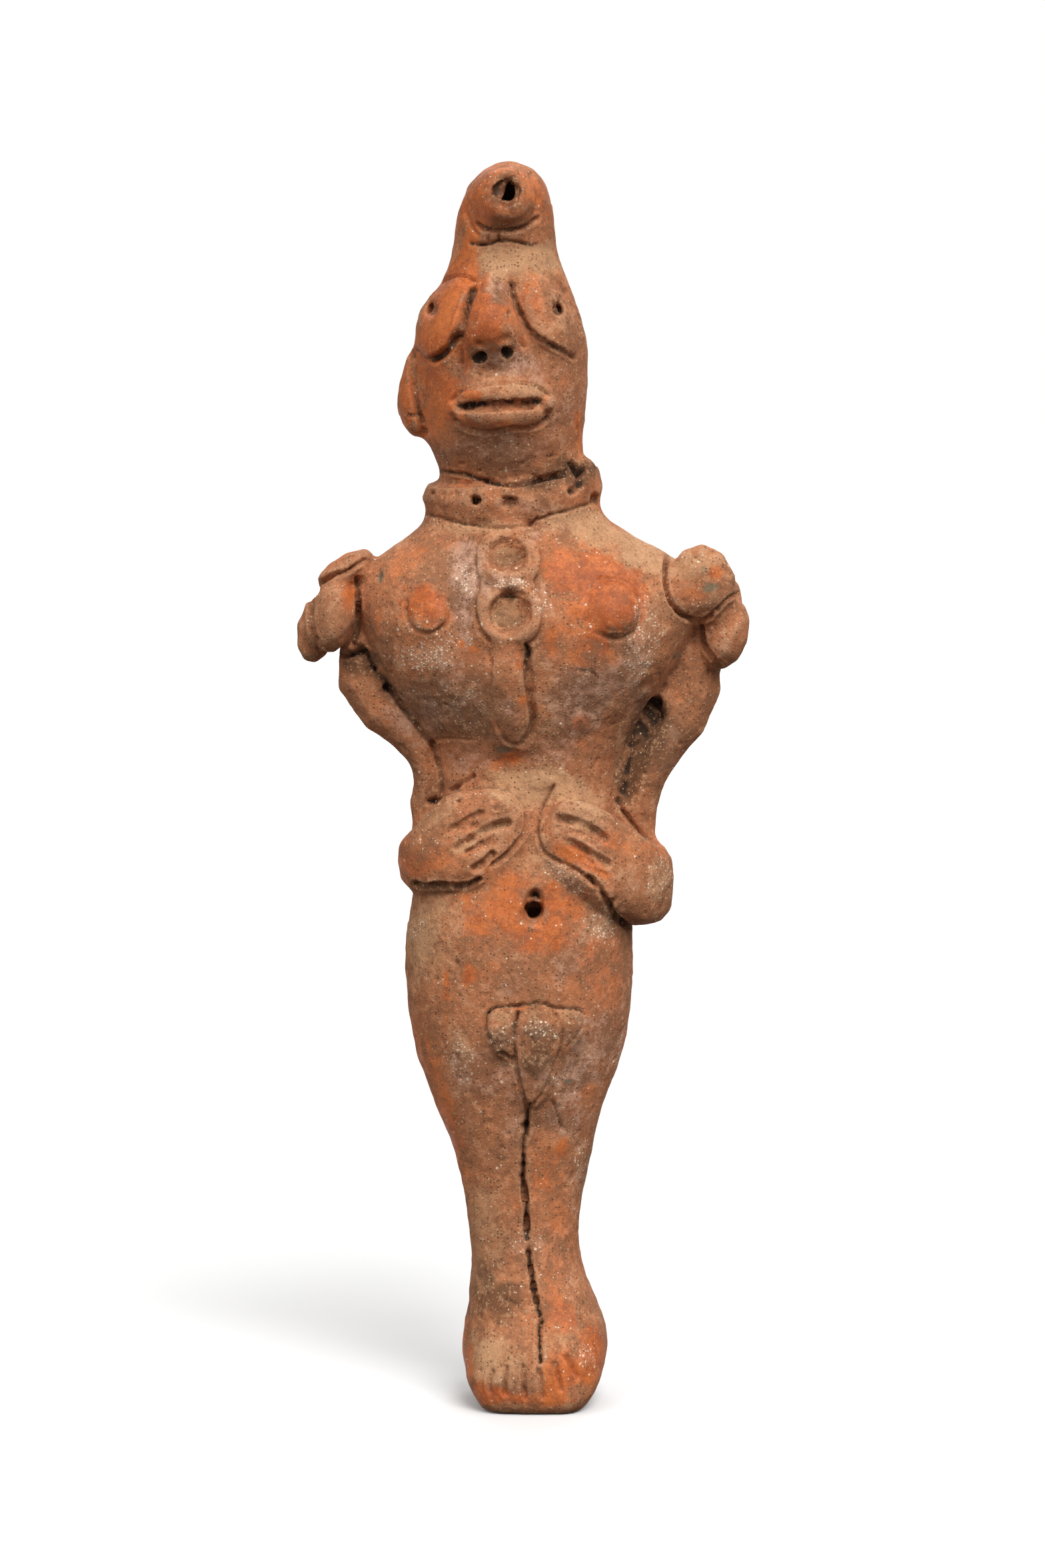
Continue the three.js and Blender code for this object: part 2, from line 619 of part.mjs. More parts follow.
// Short strokes down the front of the feet part the toes.
function toeGrooves() {
  const places = [-3.7, -2.4, -0.8, 1.3, 2.9, 4.1].map(share);
  return places.map((x) => {
    const stroke = [4.6, 2.6, 0.8].map((z, i) => [x * (1 - 0.04 * i), share(z)]);
    return groove(trunk, stroke, TOE_GROOVE_WIDTH, TOE_GROOVE_WIDTH * 0.6, { rings: 4 });
  });
}

// The navel, and the small holes pricked in the collar and in the armpits.
function pricks() {
  const navel = dent(trunk, {
    x: share(-0.35),
    z: share(40.4),
    width: NAVEL_DIAMETER * 0.92,
    length: NAVEL_DIAMETER * 1.1,
    depth: NAVEL_DIAMETER * 0.9,
  });
  const prick = (x, y, z) => {
    const radii = [AWL_DIAMETER * 0.6, AWL_DIAMETER, AWL_DIAMETER * 0.6];
    return ball({ at: [x, y, z], radii, sides: 8, rings: 6 });
  };
  const collarDent = (x, z) => prick(x, trunk.depthAt(x, z) - COLLAR_BAND_THICKNESS, z);
  return [
    navel,
    collarDent(share(-4.85), share(73)),
    collarDent(share(-2.1), share(72.8)),
    prick(share(-12), share(-2.7), share(57.9)),
    prick(share(9.7), share(-2.6), share(57)),
  ];
}

// The whole figure: every roll and pellet joined to the body, then everything that the stick cut.
function figure() {
  const clay = [
    solid(trunk.geometry(24, 33)),
    solid(head.geometry(20, 22)),
    collar(),
    collarLump(),
    ...topknot(),
    ...EYES.map(eye),
    nose(),
    lips(),
    ...ears(),
    ...arms(),
    ...hands(),
    ...necklace(),
    ...nipples(),
    ...bosses(),
    ...apron(),
  ];
  const cuts = [
    topknotHole(),
    ...EYES.map(pupil),
    ...nostrils(),
    mouthSlit(),
    ...medallionDents(),
    ...fingerGrooves(),
    ...legGrooves(),
    ...toeGrooves(),
    ...pricks(),
  ];
  const joined = clay.reduce((all, piece) => all.add(piece));
  return cuts.reduce((all, piece) => all.subtract(piece), joined);
}

function toGeometry(made) {
  const mesh = made.getMesh();
  const positions = new Float32Array(mesh.numVert * 3);
  for (let i = 0; i < mesh.numVert; i += 1) {
    positions.set(mesh.vertProperties.subarray(i * mesh.numProp, i * mesh.numProp + 3), i * 3);
  }
  return new THREE.BufferGeometry()
    .setAttribute("position", new THREE.BufferAttribute(positions, 3))
    .setIndex(new THREE.BufferAttribute(mesh.triVerts, 1));
}

const terracotta = new THREE.MeshStandardMaterial({ color: 0xa9673f, roughness: 0.9, metalness: 0 });
const idol = new THREE.Mesh(toGeometry(figure()), terracotta);
idol.name = "idol_figure";

const group = new THREE.Group();
group.add(idol);

export default group;
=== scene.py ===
# %% [markdown]
# A terracotta idol, dressed in Blender. The solid figure comes from its CAD model, with all its rolls and
# pellets of clay in place. This lesson gives it the skin of real hand-worked clay: fused joins, tool marks,
# cracks, sand, worn burnish and soil, and painted shade in its gaps, holes and hollows. A real maker works
# from large to small, and so does this file.

import math

import bpy
import numpy as np
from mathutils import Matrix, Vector


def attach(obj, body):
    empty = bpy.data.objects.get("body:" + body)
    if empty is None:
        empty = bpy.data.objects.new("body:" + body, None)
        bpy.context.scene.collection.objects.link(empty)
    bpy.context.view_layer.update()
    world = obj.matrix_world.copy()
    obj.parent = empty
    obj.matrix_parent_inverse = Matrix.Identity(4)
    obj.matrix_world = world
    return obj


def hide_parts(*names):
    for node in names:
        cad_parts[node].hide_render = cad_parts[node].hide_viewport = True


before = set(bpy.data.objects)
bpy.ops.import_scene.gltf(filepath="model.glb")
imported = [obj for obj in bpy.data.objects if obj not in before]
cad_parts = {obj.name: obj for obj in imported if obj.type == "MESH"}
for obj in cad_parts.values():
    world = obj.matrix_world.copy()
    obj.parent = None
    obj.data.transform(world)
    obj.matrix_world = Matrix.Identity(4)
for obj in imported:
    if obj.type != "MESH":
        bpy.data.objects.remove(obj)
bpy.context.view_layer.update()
MM = 0.001

# %% [markdown]
# The photograph was taken from straight in front and slightly above, with a long lens. A long lens from
# far away keeps the head and the feet in proportion. The camera is built first, because the tool marks
# further down are placed where it sees them.

# %% The camera
FRAME_WIDTH, FRAME_HEIGHT = 1568, 2353  # pixels of the photograph's frame
LENS, SENSOR = 100.0, 36.0  # millimetres, the sensor's long side is the frame's height
DISTANCE = 702.0  # millimetres from the lens to the figure's axis
PIXELS_PER_MM_AT_1_MM = LENS / SENSOR * FRAME_HEIGHT  # how large a millimetre looks a millimetre away
LOOK_DOWN = math.radians(5)
AIM = np.array([-2.15, 0.0, 100.3])  # the point of the axis in the middle of the frame, in millimetres

TO_CAMERA = np.array([0.0, -math.cos(LOOK_DOWN), math.sin(LOOK_DOWN)])
ACROSS = np.array([1.0, 0.0, 0.0])
UPWARD = np.cross(TO_CAMERA, ACROSS)
EYE = AIM + TO_CAMERA * DISTANCE

lens = bpy.data.cameras.new("long_lens")
lens.lens = LENS
lens.sensor_fit = "AUTO"
lens.sensor_width = SENSOR
camera = bpy.data.objects.new("camera", lens)
camera.location = Vector(EYE * MM)
camera.rotation_euler = (math.pi / 2 - LOOK_DOWN, 0, 0)
bpy.context.scene.collection.objects.link(camera)
bpy.context.scene.camera = camera
print("camera", [round(x, 3) for x in camera.location])

# %% [markdown]
# A photograph's colours are kept as they are with the Standard view. The default view would turn the
# orange clay paler, the brighter it is lit.

# %% Colour view
bpy.context.scene.view_settings.view_transform = "Standard"
bpy.context.scene.view_settings.look = "None"

# %% [markdown]
# The solid is copied, and the copy becomes clay. Its triangles come in loose, so they are merged first.
# Crumbs and a small ball of clay that stick to the real figure are added as little spheres. Then a voxel
# remesh fuses all of it into one even skin, as wet clay fuses when it is pressed together. A boolean union
# would keep the facets and give no even skin to work on.

# %% A copy of the solid to work on
VOXEL = 0.37 * MM


def only(piece):
    """Selects one piece and makes it active, because operators act on all that is selected."""
    bpy.ops.object.select_all(action="DESELECT")
    piece.select_set(True)
    bpy.context.view_layer.objects.active = piece


def modify(piece, kind, **settings):
    """Adds a modifier with its settings and applies it."""
    modifier = piece.modifiers.new(kind.lower(), kind)
    for name, value in settings.items():
        setattr(modifier, name, value)
    only(piece)
    bpy.ops.object.modifier_apply(modifier=modifier.name)


idol = bpy.data.objects.new("terracotta_idol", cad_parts["idol_figure"].data.copy())
bpy.context.scene.collection.objects.link(idol)
idol.data.materials.clear()
only(idol)
bpy.ops.object.mode_set(mode="EDIT")
bpy.ops.mesh.select_all(action="SELECT")
bpy.ops.mesh.remove_doubles(threshold=0.001 * MM)
bpy.ops.object.mode_set(mode="OBJECT")
print("merged copy:", len(idol.data.vertices), "points,", len(idol.data.polygons), "faces")

# %% [markdown]
# Crumbs sit where the photograph shows them: round the eyes, under the topknot's button and band, along
# the collar and the tongue, on the ribs, in the joins of the arms and hands, along the apron and in the line
# between the legs, where there is one more ball. Each place is found by looking from the camera through a
# point of the photograph's frame to the clay.

# %% Crumbs of clay
CRUMB_SUNK = 0.25  # how far a crumb's middle lies under the skin, as a share of its radius
CRUMB_STRETCH = (0.75, 1.25)  # the least and the most that a crumb is stretched along each axis
random = np.random.default_rng(7)


def clay_behind(column, row):
    """The point and the normal of the clay, in metres, that the camera sees at a pixel of the frame."""
    sight = (
        -TO_CAMERA * PIXELS_PER_MM_AT_1_MM
        + ACROSS * (column - FRAME_WIDTH / 2)
        - UPWARD * (row - FRAME_HEIGHT / 2)
    )
    hit, place, normal, _ = idol.ray_cast(Vector(EYE * MM), Vector(sight).normalized())
    return (place, normal) if hit else (None, None)


def crumb(column, row, radius):
    """One crumb, a little more than half sunk in the clay. The radius is in millimetres."""
    place, normal = clay_behind(column, row)
    if place is None:
        return []
    bpy.ops.mesh.primitive_ico_sphere_add(
        subdivisions=2,
        radius=radius * MM,
        location=place - normal * CRUMB_SUNK * radius * MM,
        rotation=random.uniform(0, 3, 3),
        scale=random.uniform(*CRUMB_STRETCH, 3),
    )
    return [bpy.context.object]


CRUMB_FIELDS = {  # left, top, right and bottom of each field in pixels, how many, smallest and largest radius
    "crumbled edge of the collar": ((806, 696, 884, 716), 16, 0.45, 1.0),
    "front of the collar": ((752, 722, 846, 738), 14, 0.35, 0.75),
    "end of the collar": ((850, 716, 884, 738), 8, 0.4, 0.9),
    "under the band": ((706, 362, 812, 372), 13, 0.35, 0.6),
    "along the apron": ((736, 1508, 872, 1514), 9, 0.35, 0.6),
    "under the left breast": ((640, 1048, 742, 1104), 12, 0.35, 0.7),
    "right ribs": ((880, 1032, 934, 1060), 7, 0.35, 0.55),
    "under the right hand": ((800, 1300, 905, 1330), 9, 0.35, 0.6),
}
CLAY_BALL = (793, 1866.5, 0.62)

CRUMB_TRAILS = {  # a line in pixels, how many crumbs lie beside it, smallest and largest radius
    "round the right eye": (
        [(764, 424), (772, 446), (788, 478), (806, 504), (838, 522), (866, 536)],
        26, 0.3, 0.5,
    ),
    "beside the left eye": ([(714, 428), (704, 456), (694, 488), (684, 512), (660, 536)], 14, 0.3, 0.42),
    "under the button": ([(720, 349), (764, 351), (800, 341)], 9, 0.3, 0.42),
    "over the collar": ([(664, 707), (700, 714), (752, 730), (800, 724)], 18, 0.35, 0.6),
    "beside the tongue": ([(792, 975), (792, 1010), (798, 1050), (803, 1080)], 9, 0.3, 0.5),
    "right arm": ([(982, 1070), (956, 1100), (942, 1140), (936, 1185)], 9, 0.3, 0.45),
    "leg line": ([(786, 1700), (786, 1760), (790, 1800), (792, 1850)], 16, 0.3, 0.5),
    "under the left hand": ([(640, 1330), (700, 1330)], 7, 0.35, 0.6),
    "under the right wrist": ([(888, 1322), (914, 1360), (950, 1392)], 14, 0.35, 0.65),
    "left arm": ([(560, 1010), (600, 1056), (640, 1110)], 12, 0.3, 0.45),
}
TRAIL_SPREAD = 5  # pixels that a crumb lies beside its line at most

crumbs = crumb(*CLAY_BALL)
for line, count, small, large in CRUMB_TRAILS.values():
    for _ in range(count):
        leg = int(random.integers(len(line) - 1))
        start, end = np.array(line[leg]), np.array(line[leg + 1])
        spot = start + (end - start) * random.uniform()
        column, row = spot + random.uniform(-TRAIL_SPREAD, TRAIL_SPREAD, 2)
        crumbs += crumb(column, row, random.uniform(small, large))
for (left, top, right, bottom), count, small, large in CRUMB_FIELDS.values():
    for _ in range(count):
        crumbs += crumb(
            random.uniform(left, right), random.uniform(top, bottom), random.uniform(small, large)
        )
print(len(crumbs), "crumbs")

only(idol)
for piece in crumbs:
    piece.select_set(True)
bpy.ops.object.join()
modify(idol, "REMESH", mode="VOXEL", voxel_size=VOXEL, adaptivity=0)
print("fused clay:", len(idol.data.vertices), "points")

# %% [markdown]
# The solid's broad faces are flat facets, and fingers leave no facets. Smoothing melts them, but it would
# also melt the pellets. So two smoothed copies are compared: where the strong one moves the clay only a
# little, there was only a facet, and the strong one is used. Where it moves the clay a lot, there was a
# pellet or a cut, and the light one is used.

# %% The skin as arrays of numbers
def ramp(value, low, high):
    """0 below low, 1 above high and a soft S between them."""
    share = np.clip((value - low) / (high - low), 0, 1)
    return share * share * (3 - 2 * share)


def lattice(points, size, seed):
    """Soft random noise from 0 to 1, in lumps of a size in millimetres."""
    side = 32  # cells after which the noise repeats
    shift = 7.3 * seed  # cells by which one seed's noise lies beside another's
    table = np.random.default_rng(seed).random((side, side, side))
    scaled = points / size + shift
    cell = np.floor(scaled).astype(int)
    share = scaled - cell
    share = share * share * (3 - 2 * share)
    total = np.zeros(len(points))
    for corner in np.ndindex(2, 2, 2):
        weight = np.prod(np.where(corner, share, 1 - share), axis=1)
        total += weight * table[tuple(((cell + corner) % side).T)]
    return total


FACING = 0.35  # the cosine to the camera's direction above which a mark has its full depth


class Skin:
    """A piece's surface in millimetres: its points, their normals and where the camera sees them."""

    def __init__(self, piece):
        self.mesh = piece.data
        ends = np.empty(len(self.mesh.edges) * 2, np.int32)
        self.mesh.edges.foreach_get("vertices", ends)
        self.first, self.second = ends.reshape(-1, 2).T
        self.around = np.bincount(ends, minlength=len(self.mesh.vertices)).astype(float)
        self.read()

    def read(self):
        numbers = np.empty(len(self.mesh.vertices) * 3, np.float32)
        self.mesh.vertices.foreach_get("co", numbers)
        self.points = numbers.reshape(-1, 3) / MM
        numbers = np.empty_like(numbers)
        self.mesh.vertex_normals.foreach_get("vector", numbers)
        self.normals = numbers.reshape(-1, 3).astype(float)
        away = self.points - EYE
        scale = PIXELS_PER_MM_AT_1_MM / -(away @ TO_CAMERA)
        self.column = FRAME_WIDTH / 2 + (away @ ACROSS) * scale
        self.row = FRAME_HEIGHT / 2 - (away @ UPWARD) * scale
        self.facing = ramp(self.normals @ TO_CAMERA, 0.0, FACING)

    def write(self):
        self.mesh.vertices.foreach_set("co", (self.points * MM).astype(np.float32).ravel())
        self.mesh.update()
        self.read()

    def spread(self, values, rounds):
        """Each value becomes the mean of its neighbours, some rounds long."""
        for _ in range(rounds):
            total = np.bincount(self.first, values[self.second], len(values))
            total += np.bincount(self.second, values[self.first], len(values))
            values = total / self.around
        return values

    def spread_points(self, rounds):
        return np.stack([self.spread(axis, rounds) for axis in self.points.T], axis=1)


# %% Facets melt, pellets stay
FACET_BULGE = 0.16  # millimetres that a facet's edge moves at most
PELLET_BULGE = 0.42  # millimetres that a pellet's edge moves at least
STRONG_ROUNDS, LIGHT_ROUNDS = 170, 14  # rounds of smoothing for facets and for pellets
BORDER_ROUNDS = 6  # rounds that soften the border between both

eased = bpy.data.objects.new("eased", idol.data.copy())
bpy.context.scene.collection.objects.link(eased)
modify(eased, "SMOOTH", factor=0.5, iterations=STRONG_ROUNDS)
modify(idol, "SMOOTH", factor=0.5, iterations=LIGHT_ROUNDS)
skin = Skin(idol)
eased_points = Skin(eased).points
moved = np.linalg.norm(eased_points - skin.points, axis=1)
keep = skin.spread(ramp(moved, FACET_BULGE, PELLET_BULGE), BORDER_ROUNDS)[:, None]
skin.points = keep * skin.points + (1 - keep) * eased_points
skin.write()
bpy.data.objects.remove(eased)
print("melted:", round(float((1 - keep).mean()) * 100), "per cent of the skin")

# %% [markdown]
# Hand-rolled clay is never quite even. Two Displace modifiers with cloud textures raise low lumps: one the
# size of a thumb press and one the size of a fingertip dab. They move real mesh, so the outline wobbles
# too, which a bump in the material would not do.

# %% Lumps left by thumbs and fingertips
def lumps(name, size, height):
    """Soft lumps of a size and a height in millimetres."""
    cloud = bpy.data.textures.new(name, "CLOUDS")
    cloud.noise_scale = size * MM
    cloud.noise_depth = 2
    modify(idol, "DISPLACE", texture=cloud, texture_coords="LOCAL", strength=height * MM, mid_level=0.5)


lumps("thumb_presses", size=9.0, height=0.7)
lumps("fingertip_dabs", size=3.2, height=0.28)

# %% [markdown]
# The maker drew the figure's lines with a pointed stick and pricked holes with it. A sculpt brush needs a
# window, so each stroke is a path of a few points in the photograph's frame, and the clay under it is
# pushed in along its normals. Pushed clay has to go somewhere, so a stroke raises a low lip on both sides.

# %% Strokes, pricks and pats
REACH = 2  # how wide a stroke is with its lips, as a multiple of its own width
CHANNEL_EDGE = 0.45  # where the channel begins, from 0 at the lips' outer edge to 1 on the line
LIP_FULL = 0.5  # where the lip has its full height, on the same scale
LIP_HEIGHT = 0.12  # as a share of the stroke's depth
RAGGED_SIZE, RAGGED_SEED = 1.3, 3  # millimetres between a ragged stroke's teeth, and its noise
HOLE_SIDE, PAD_SIDE = 0.55, 0.45  # how wide the sloping side is, as a share of the radius

skin = Skin(idol)
# Every mark is later filled with soil, which also paints the shade in the mark.
marks = []  # every stroke and prick, to be filled with soil later


def rounded(path):
    """A path with its corners cut twice, so that a few points make a curve."""
    path = np.array(path, float)
    for _ in range(2):
        if len(path) > 2:
            nearer = 0.75 * path[:-1] + 0.25 * path[1:]
            farther = 0.25 * path[:-1] + 0.75 * path[1:]
            middle = np.stack([nearer, farther], axis=1).reshape(-1, 2)
            path = np.vstack([path[:1], middle[1:-1], path[-1:]])
    return path


def under_stroke(path, width):
    """The points near a stroke, and how far inside it each one is: 1 on its line, 0 at its edge."""
    path = rounded(path)
    low, high = path.min(0) - width, path.max(0) + width
    near = np.flatnonzero(
        (skin.column > low[0]) & (skin.column < high[0])
        & (skin.row > low[1]) & (skin.row < high[1]) & (skin.facing > 0)
    )
    spot = np.stack([skin.column[near], skin.row[near]], axis=1)
    nearest = np.full(len(near), np.inf)
    for start, end in zip(path[:-1], path[1:]):
        step = end - start
        share = np.clip((spot - start) @ step / max(step @ step, 1e-9), 0, 1)
        nearest = np.minimum(nearest, np.linalg.norm(spot - start - share[:, None] * step, axis=1))
    return near, np.clip(1 - nearest / (width / 2), 0, 1)


def oval(column, row, wide, high, tilt):
    """The distance of every point from the middle of an oval, where 1 is its edge. The tilt is in degrees."""
    turn = math.radians(tilt)
    right, down = skin.column - column, skin.row - row
    long = (right * math.cos(turn) + down * math.sin(turn)) / wide
    short = (down * math.cos(turn) - right * math.sin(turn)) / high
    return np.hypot(long, short)


def under_prick(centre, radii, tilt=0.0):
    """The points in an oval prick, and how far inside it each one is."""
    inside = (1 - oval(*centre, *radii, tilt)) * (skin.facing > 0)
    near = np.flatnonzero(inside > 0)
    return near, inside[near]


def push(near, amount):
    """Moves some points inwards by so many millimetres, less where they turn away from the camera."""
    skin.points[near] -= skin.normals[near] * (amount * skin.facing[near])[:, None]


def stroke(path, width, depth, soil_and_shade=0.55, ragged=0.45, full=0.9):
    """A channel of a width in pixels and a depth in millimetres, with a low lip on both sides. Its floor
    is a line with full at 0.9, and a flat strip with a smaller one."""
    near, inside = under_stroke(path, REACH * width)
    uneven = 1 + ragged * (2 * lattice(skin.points[near], RAGGED_SIZE, RAGGED_SEED) - 1)
    channel = ramp(inside, CHANNEL_EDGE, full)
    lip = ramp(inside, 0.0, LIP_FULL) - channel
    push(near, depth * uneven * channel - LIP_HEIGHT * depth * lip)
    marks.append((under_stroke, (path, width), soil_and_shade))
    return len(near)


def prick(centre, radii, depth, tilt=0.0, soil_and_shade=0.9):
    """A hole with steep sides. The radii are in pixels and the depth in millimetres."""
    near, inside = under_prick(centre, radii, tilt)
    push(near, depth * ramp(inside, 0.0, HOLE_SIDE))
    marks.append((under_prick, (centre, radii, tilt), soil_and_shade))
    return len(near)


def pat(centre, radii, height, tilt=0.0):
    """A low pad of clay with a soft edge."""
    near, inside = under_prick(centre, radii, tilt)
    push(near, -height * ramp(inside, 0.0, PAD_SIDE))
    return len(near)


def report(made):
    """Says how many marks were made, and names those that met no clay."""
    print(len(made), "marks, missed:", [name for name, points in made.items() if not points])


# %% [markdown]
# The head first. The topknot is a button over a band with a broken lower edge, the left eye lies in a deep
# recess, and the right eye is only drawn round with a ragged line.

# %% The head's tool marks
head_marks = {
    "crease under the button": stroke(
        [(716, 337), (728, 345), (760, 347), (790, 342), (807, 327)],
        9, 1.2,
    ),
    "right rim of the button": stroke([(796, 262), (809, 292), (805, 318)], 9, 0.4, soil_and_shade=0.1),
    "left rim of the button": stroke([(698, 316), (704, 335), (716, 352)], 8, 0.4, soil_and_shade=0.0),
    "torn edge of the band": stroke(
        [(706, 366), (730, 368), (750, 361), (775, 363), (795, 369), (806, 366)],
        7, 0.6, soil_and_shade=0.8, ragged=1.0,
    ),
    "first nick in the band": stroke([(733, 352), (733, 363)], 3, 0.5),
    "second nick in the band": stroke([(748, 350), (747, 364)], 3, 0.6),
    "recess in the button": prick((759, 284), (27, 29), 1.3, soil_and_shade=0.95),
    "slot in the recess": stroke(
        [(770, 266), (762, 276), (767, 286), (759, 300)],
        11, 1.5, soil_and_shade=1.3, ragged=1.0,
    ),
    "sand low in the recess": pat((746, 298), (12, 9), 0.9),
    "sand high in the recess": pat((752, 270), (9, 7), 0.4),
    "lower rim of the recess": stroke([(737, 296), (741, 305), (752, 309)], 4, 0.4),
    "forehead pad": pat((765, 392), (62, 26), 0.25),
    "left eye's inner line": stroke(
        [(709, 436), (705, 450), (697, 472), (690, 496), (679, 517), (666, 532), (650, 540)],
        15, 1.5, soil_and_shade=0.8, ragged=0.9,
    ),
    "left eye's pad": pat((664, 480), (34, 78), 0.5, tilt=27),
    "left eye's lower tip": stroke([(650, 540), (636, 536), (626, 522)], 8, 0.6),
    "left eye's upper line": stroke([(712, 421), (694, 411), (672, 418), (652, 430)], 7, 0.5, soil_and_shade=0.15),
    "left eye's deep corner": stroke([(700, 470), (690, 498), (678, 518)], 15, 0.5, soil_and_shade=0.5),
    "left pupil": prick((650, 465), (12, 14), 0.8, tilt=20, soil_and_shade=0.7),
    "right eye's ragged line": stroke(
        [(768, 424), (770, 443), (781, 471), (792, 491), (806, 506), (825, 519), (842, 527), (862, 537)],
        10, 0.8, soil_and_shade=0.6, ragged=1.0,
    ),
    "right eye's first nick": stroke([(765, 424), (774, 428)], 6, 0.7),
    "right eye's crumbled edge": stroke([(808, 506), (834, 522)], 8, 0.5, ragged=0.9),
    "right pupil": prick((837, 465), (11, 11), 1.3, soil_and_shade=0.9),
    "nick above the right pupil": stroke([(828, 453), (834, 462)], 5, 0.8),
    "right eye's pad": pat((818, 474), (34, 66), 0.5, tilt=-28),
    "right eye's outer line": stroke(
        [(818, 410), (842, 428), (862, 462), (872, 500)],
        9, 0.45, soil_and_shade=0.15,
    ),
    "left side of the nose": stroke([(703, 452), (696, 482), (691, 508), (691, 545)], 12, 0.8, soil_and_shade=0.2),
    "right side of the nose": stroke([(765, 470), (777, 500), (786, 520)], 11, 0.6, soil_and_shade=0.15),
    # The nostrils are filled so strongly that their cores are painted nearly black, as shadow.
    "left nostril's rim": prick((719.8, 537), (13, 8.5), 2.4, soil_and_shade=6.0),
    "left nostril": prick((719.8, 537), (9, 6), 2.2, soil_and_shade=6.0),
    "right nostril's rim": prick((760.6, 529), (10, 9), 2.2, soil_and_shade=6.0),
    "right nostril": prick((760.6, 529), (7, 6.5), 2.0, soil_and_shade=6.0),
    "line under the right nostril": stroke([(761, 530), (762, 539)], 6, 0.8),
}
report(head_marks)

# %% [markdown]
# The lips are two rolls with a slit between them. The slit is deepest under the upper lip. A worn ear
# is left on one side, with a groove behind it and a notch above the lobe.

# %% The mouth and the ear
mouth_marks = {
    "left corner of the mouth": pat((679, 612), (9, 13), 1.0),
    "right corner of the mouth": pat((823, 605), (9, 13), 1.0),
    "mouth slit": stroke([(687, 609), (710, 607), (760, 603), (812, 602)], 7, 1.6, soil_and_shade=1.3, ragged=0.2),
    "lower side of the slit": stroke(
        [(687, 613), (710, 614), (760, 611), (812, 608)],
        12, 0.7, soil_and_shade=0.45,
    ),
    "upper lip's outline": stroke(
        [(677, 600), (690, 586), (723, 578), (764, 572), (804, 576), (826, 594)],
        7, 0.6, soil_and_shade=0.2,
    ),
    "lower lip's outline": stroke(
        [(684, 632), (698, 643), (723, 650), (753, 646), (774, 642), (796, 643), (812, 637), (820, 628)],
        9, 1.0, soil_and_shade=0.35,
    ),
    "groove behind the ear": stroke(
        [(619, 526), (619, 571), (624, 603), (629, 624), (636, 648)],
        12, 1.0, soil_and_shade=0.4, full=0.75,
    ),
    "notch above the lobe": stroke([(613, 624), (634, 625)], 6, 0.7),
    "worn line on the right cheek": stroke([(866, 620), (866, 664)], 5, 0.3, soil_and_shade=0.2),
}
report(mouth_marks)

# %% [markdown]
# The collar is a band of clay laid round the neck. Its upper edge has crumbled away on one side, it has a
# small hole, a square dent and an oval dent, and its ends overlap.

# %% The collar's tool marks
collar_marks = {
    "line over the collar": stroke(
        [(662, 707), (694, 711), (723, 720), (753, 728), (776, 727), (804, 722), (850, 712)],
        9, 0.9, soil_and_shade=0.95, ragged=1.0,
    ),
    "crumbled stretch of the collar": stroke(
        [(800, 721), (822, 716), (846, 708), (872, 700)],
        11, 1.1, soil_and_shade=0.75, ragged=1.0,
    ),
    "crumbled end of the collar": stroke(
        [(856, 698), (872, 712), (868, 732), (856, 738)],
        14, 1.2, soil_and_shade=1.1, ragged=1.0,
    ),
    "hole in the crumbled end": prick((868, 706), (17, 13), 0.9, soil_and_shade=1.25),
    "line under the collar": stroke(
        [
            (640, 772), (658, 776), (690, 786), (738, 792), (787, 790), (812, 778), (836, 771),
            (874, 760), (892, 754),
        ],
        6, 0.6,
    ),
    "overlap of the collar's ends": stroke([(806, 775), (804, 783), (796, 788)], 5, 0.5),
    "round hole in the collar": prick((714, 751), (8, 8), 1.8, soil_and_shade=1.8),
    "line beside the round hole": stroke([(700, 743), (711, 748)], 4, 0.5),
    "nick over the round hole": stroke([(710, 738), (712, 746)], 3, 0.4),
    "square dent in the collar": prick((765, 756), (15, 12), 0.9, soil_and_shade=0.15),
    "upper edge of the square dent": stroke([(754, 747), (776, 749)], 6, 0.8),
    "oval dent in the collar": prick((893, 750), (7, 13), 1.2),
    "speck hole in the collar": prick((648, 739), (5, 4), 0.6),
    "nick at the collar's end": stroke([(642, 748), (652, 736)], 4, 0.4),
}
report(collar_marks)

# %% [markdown]
# Two ringed medallions and a tongue of clay hang under the collar. Their edges were pressed on and then
# outlined. Beside the tongue the clay has split in a deep crack.

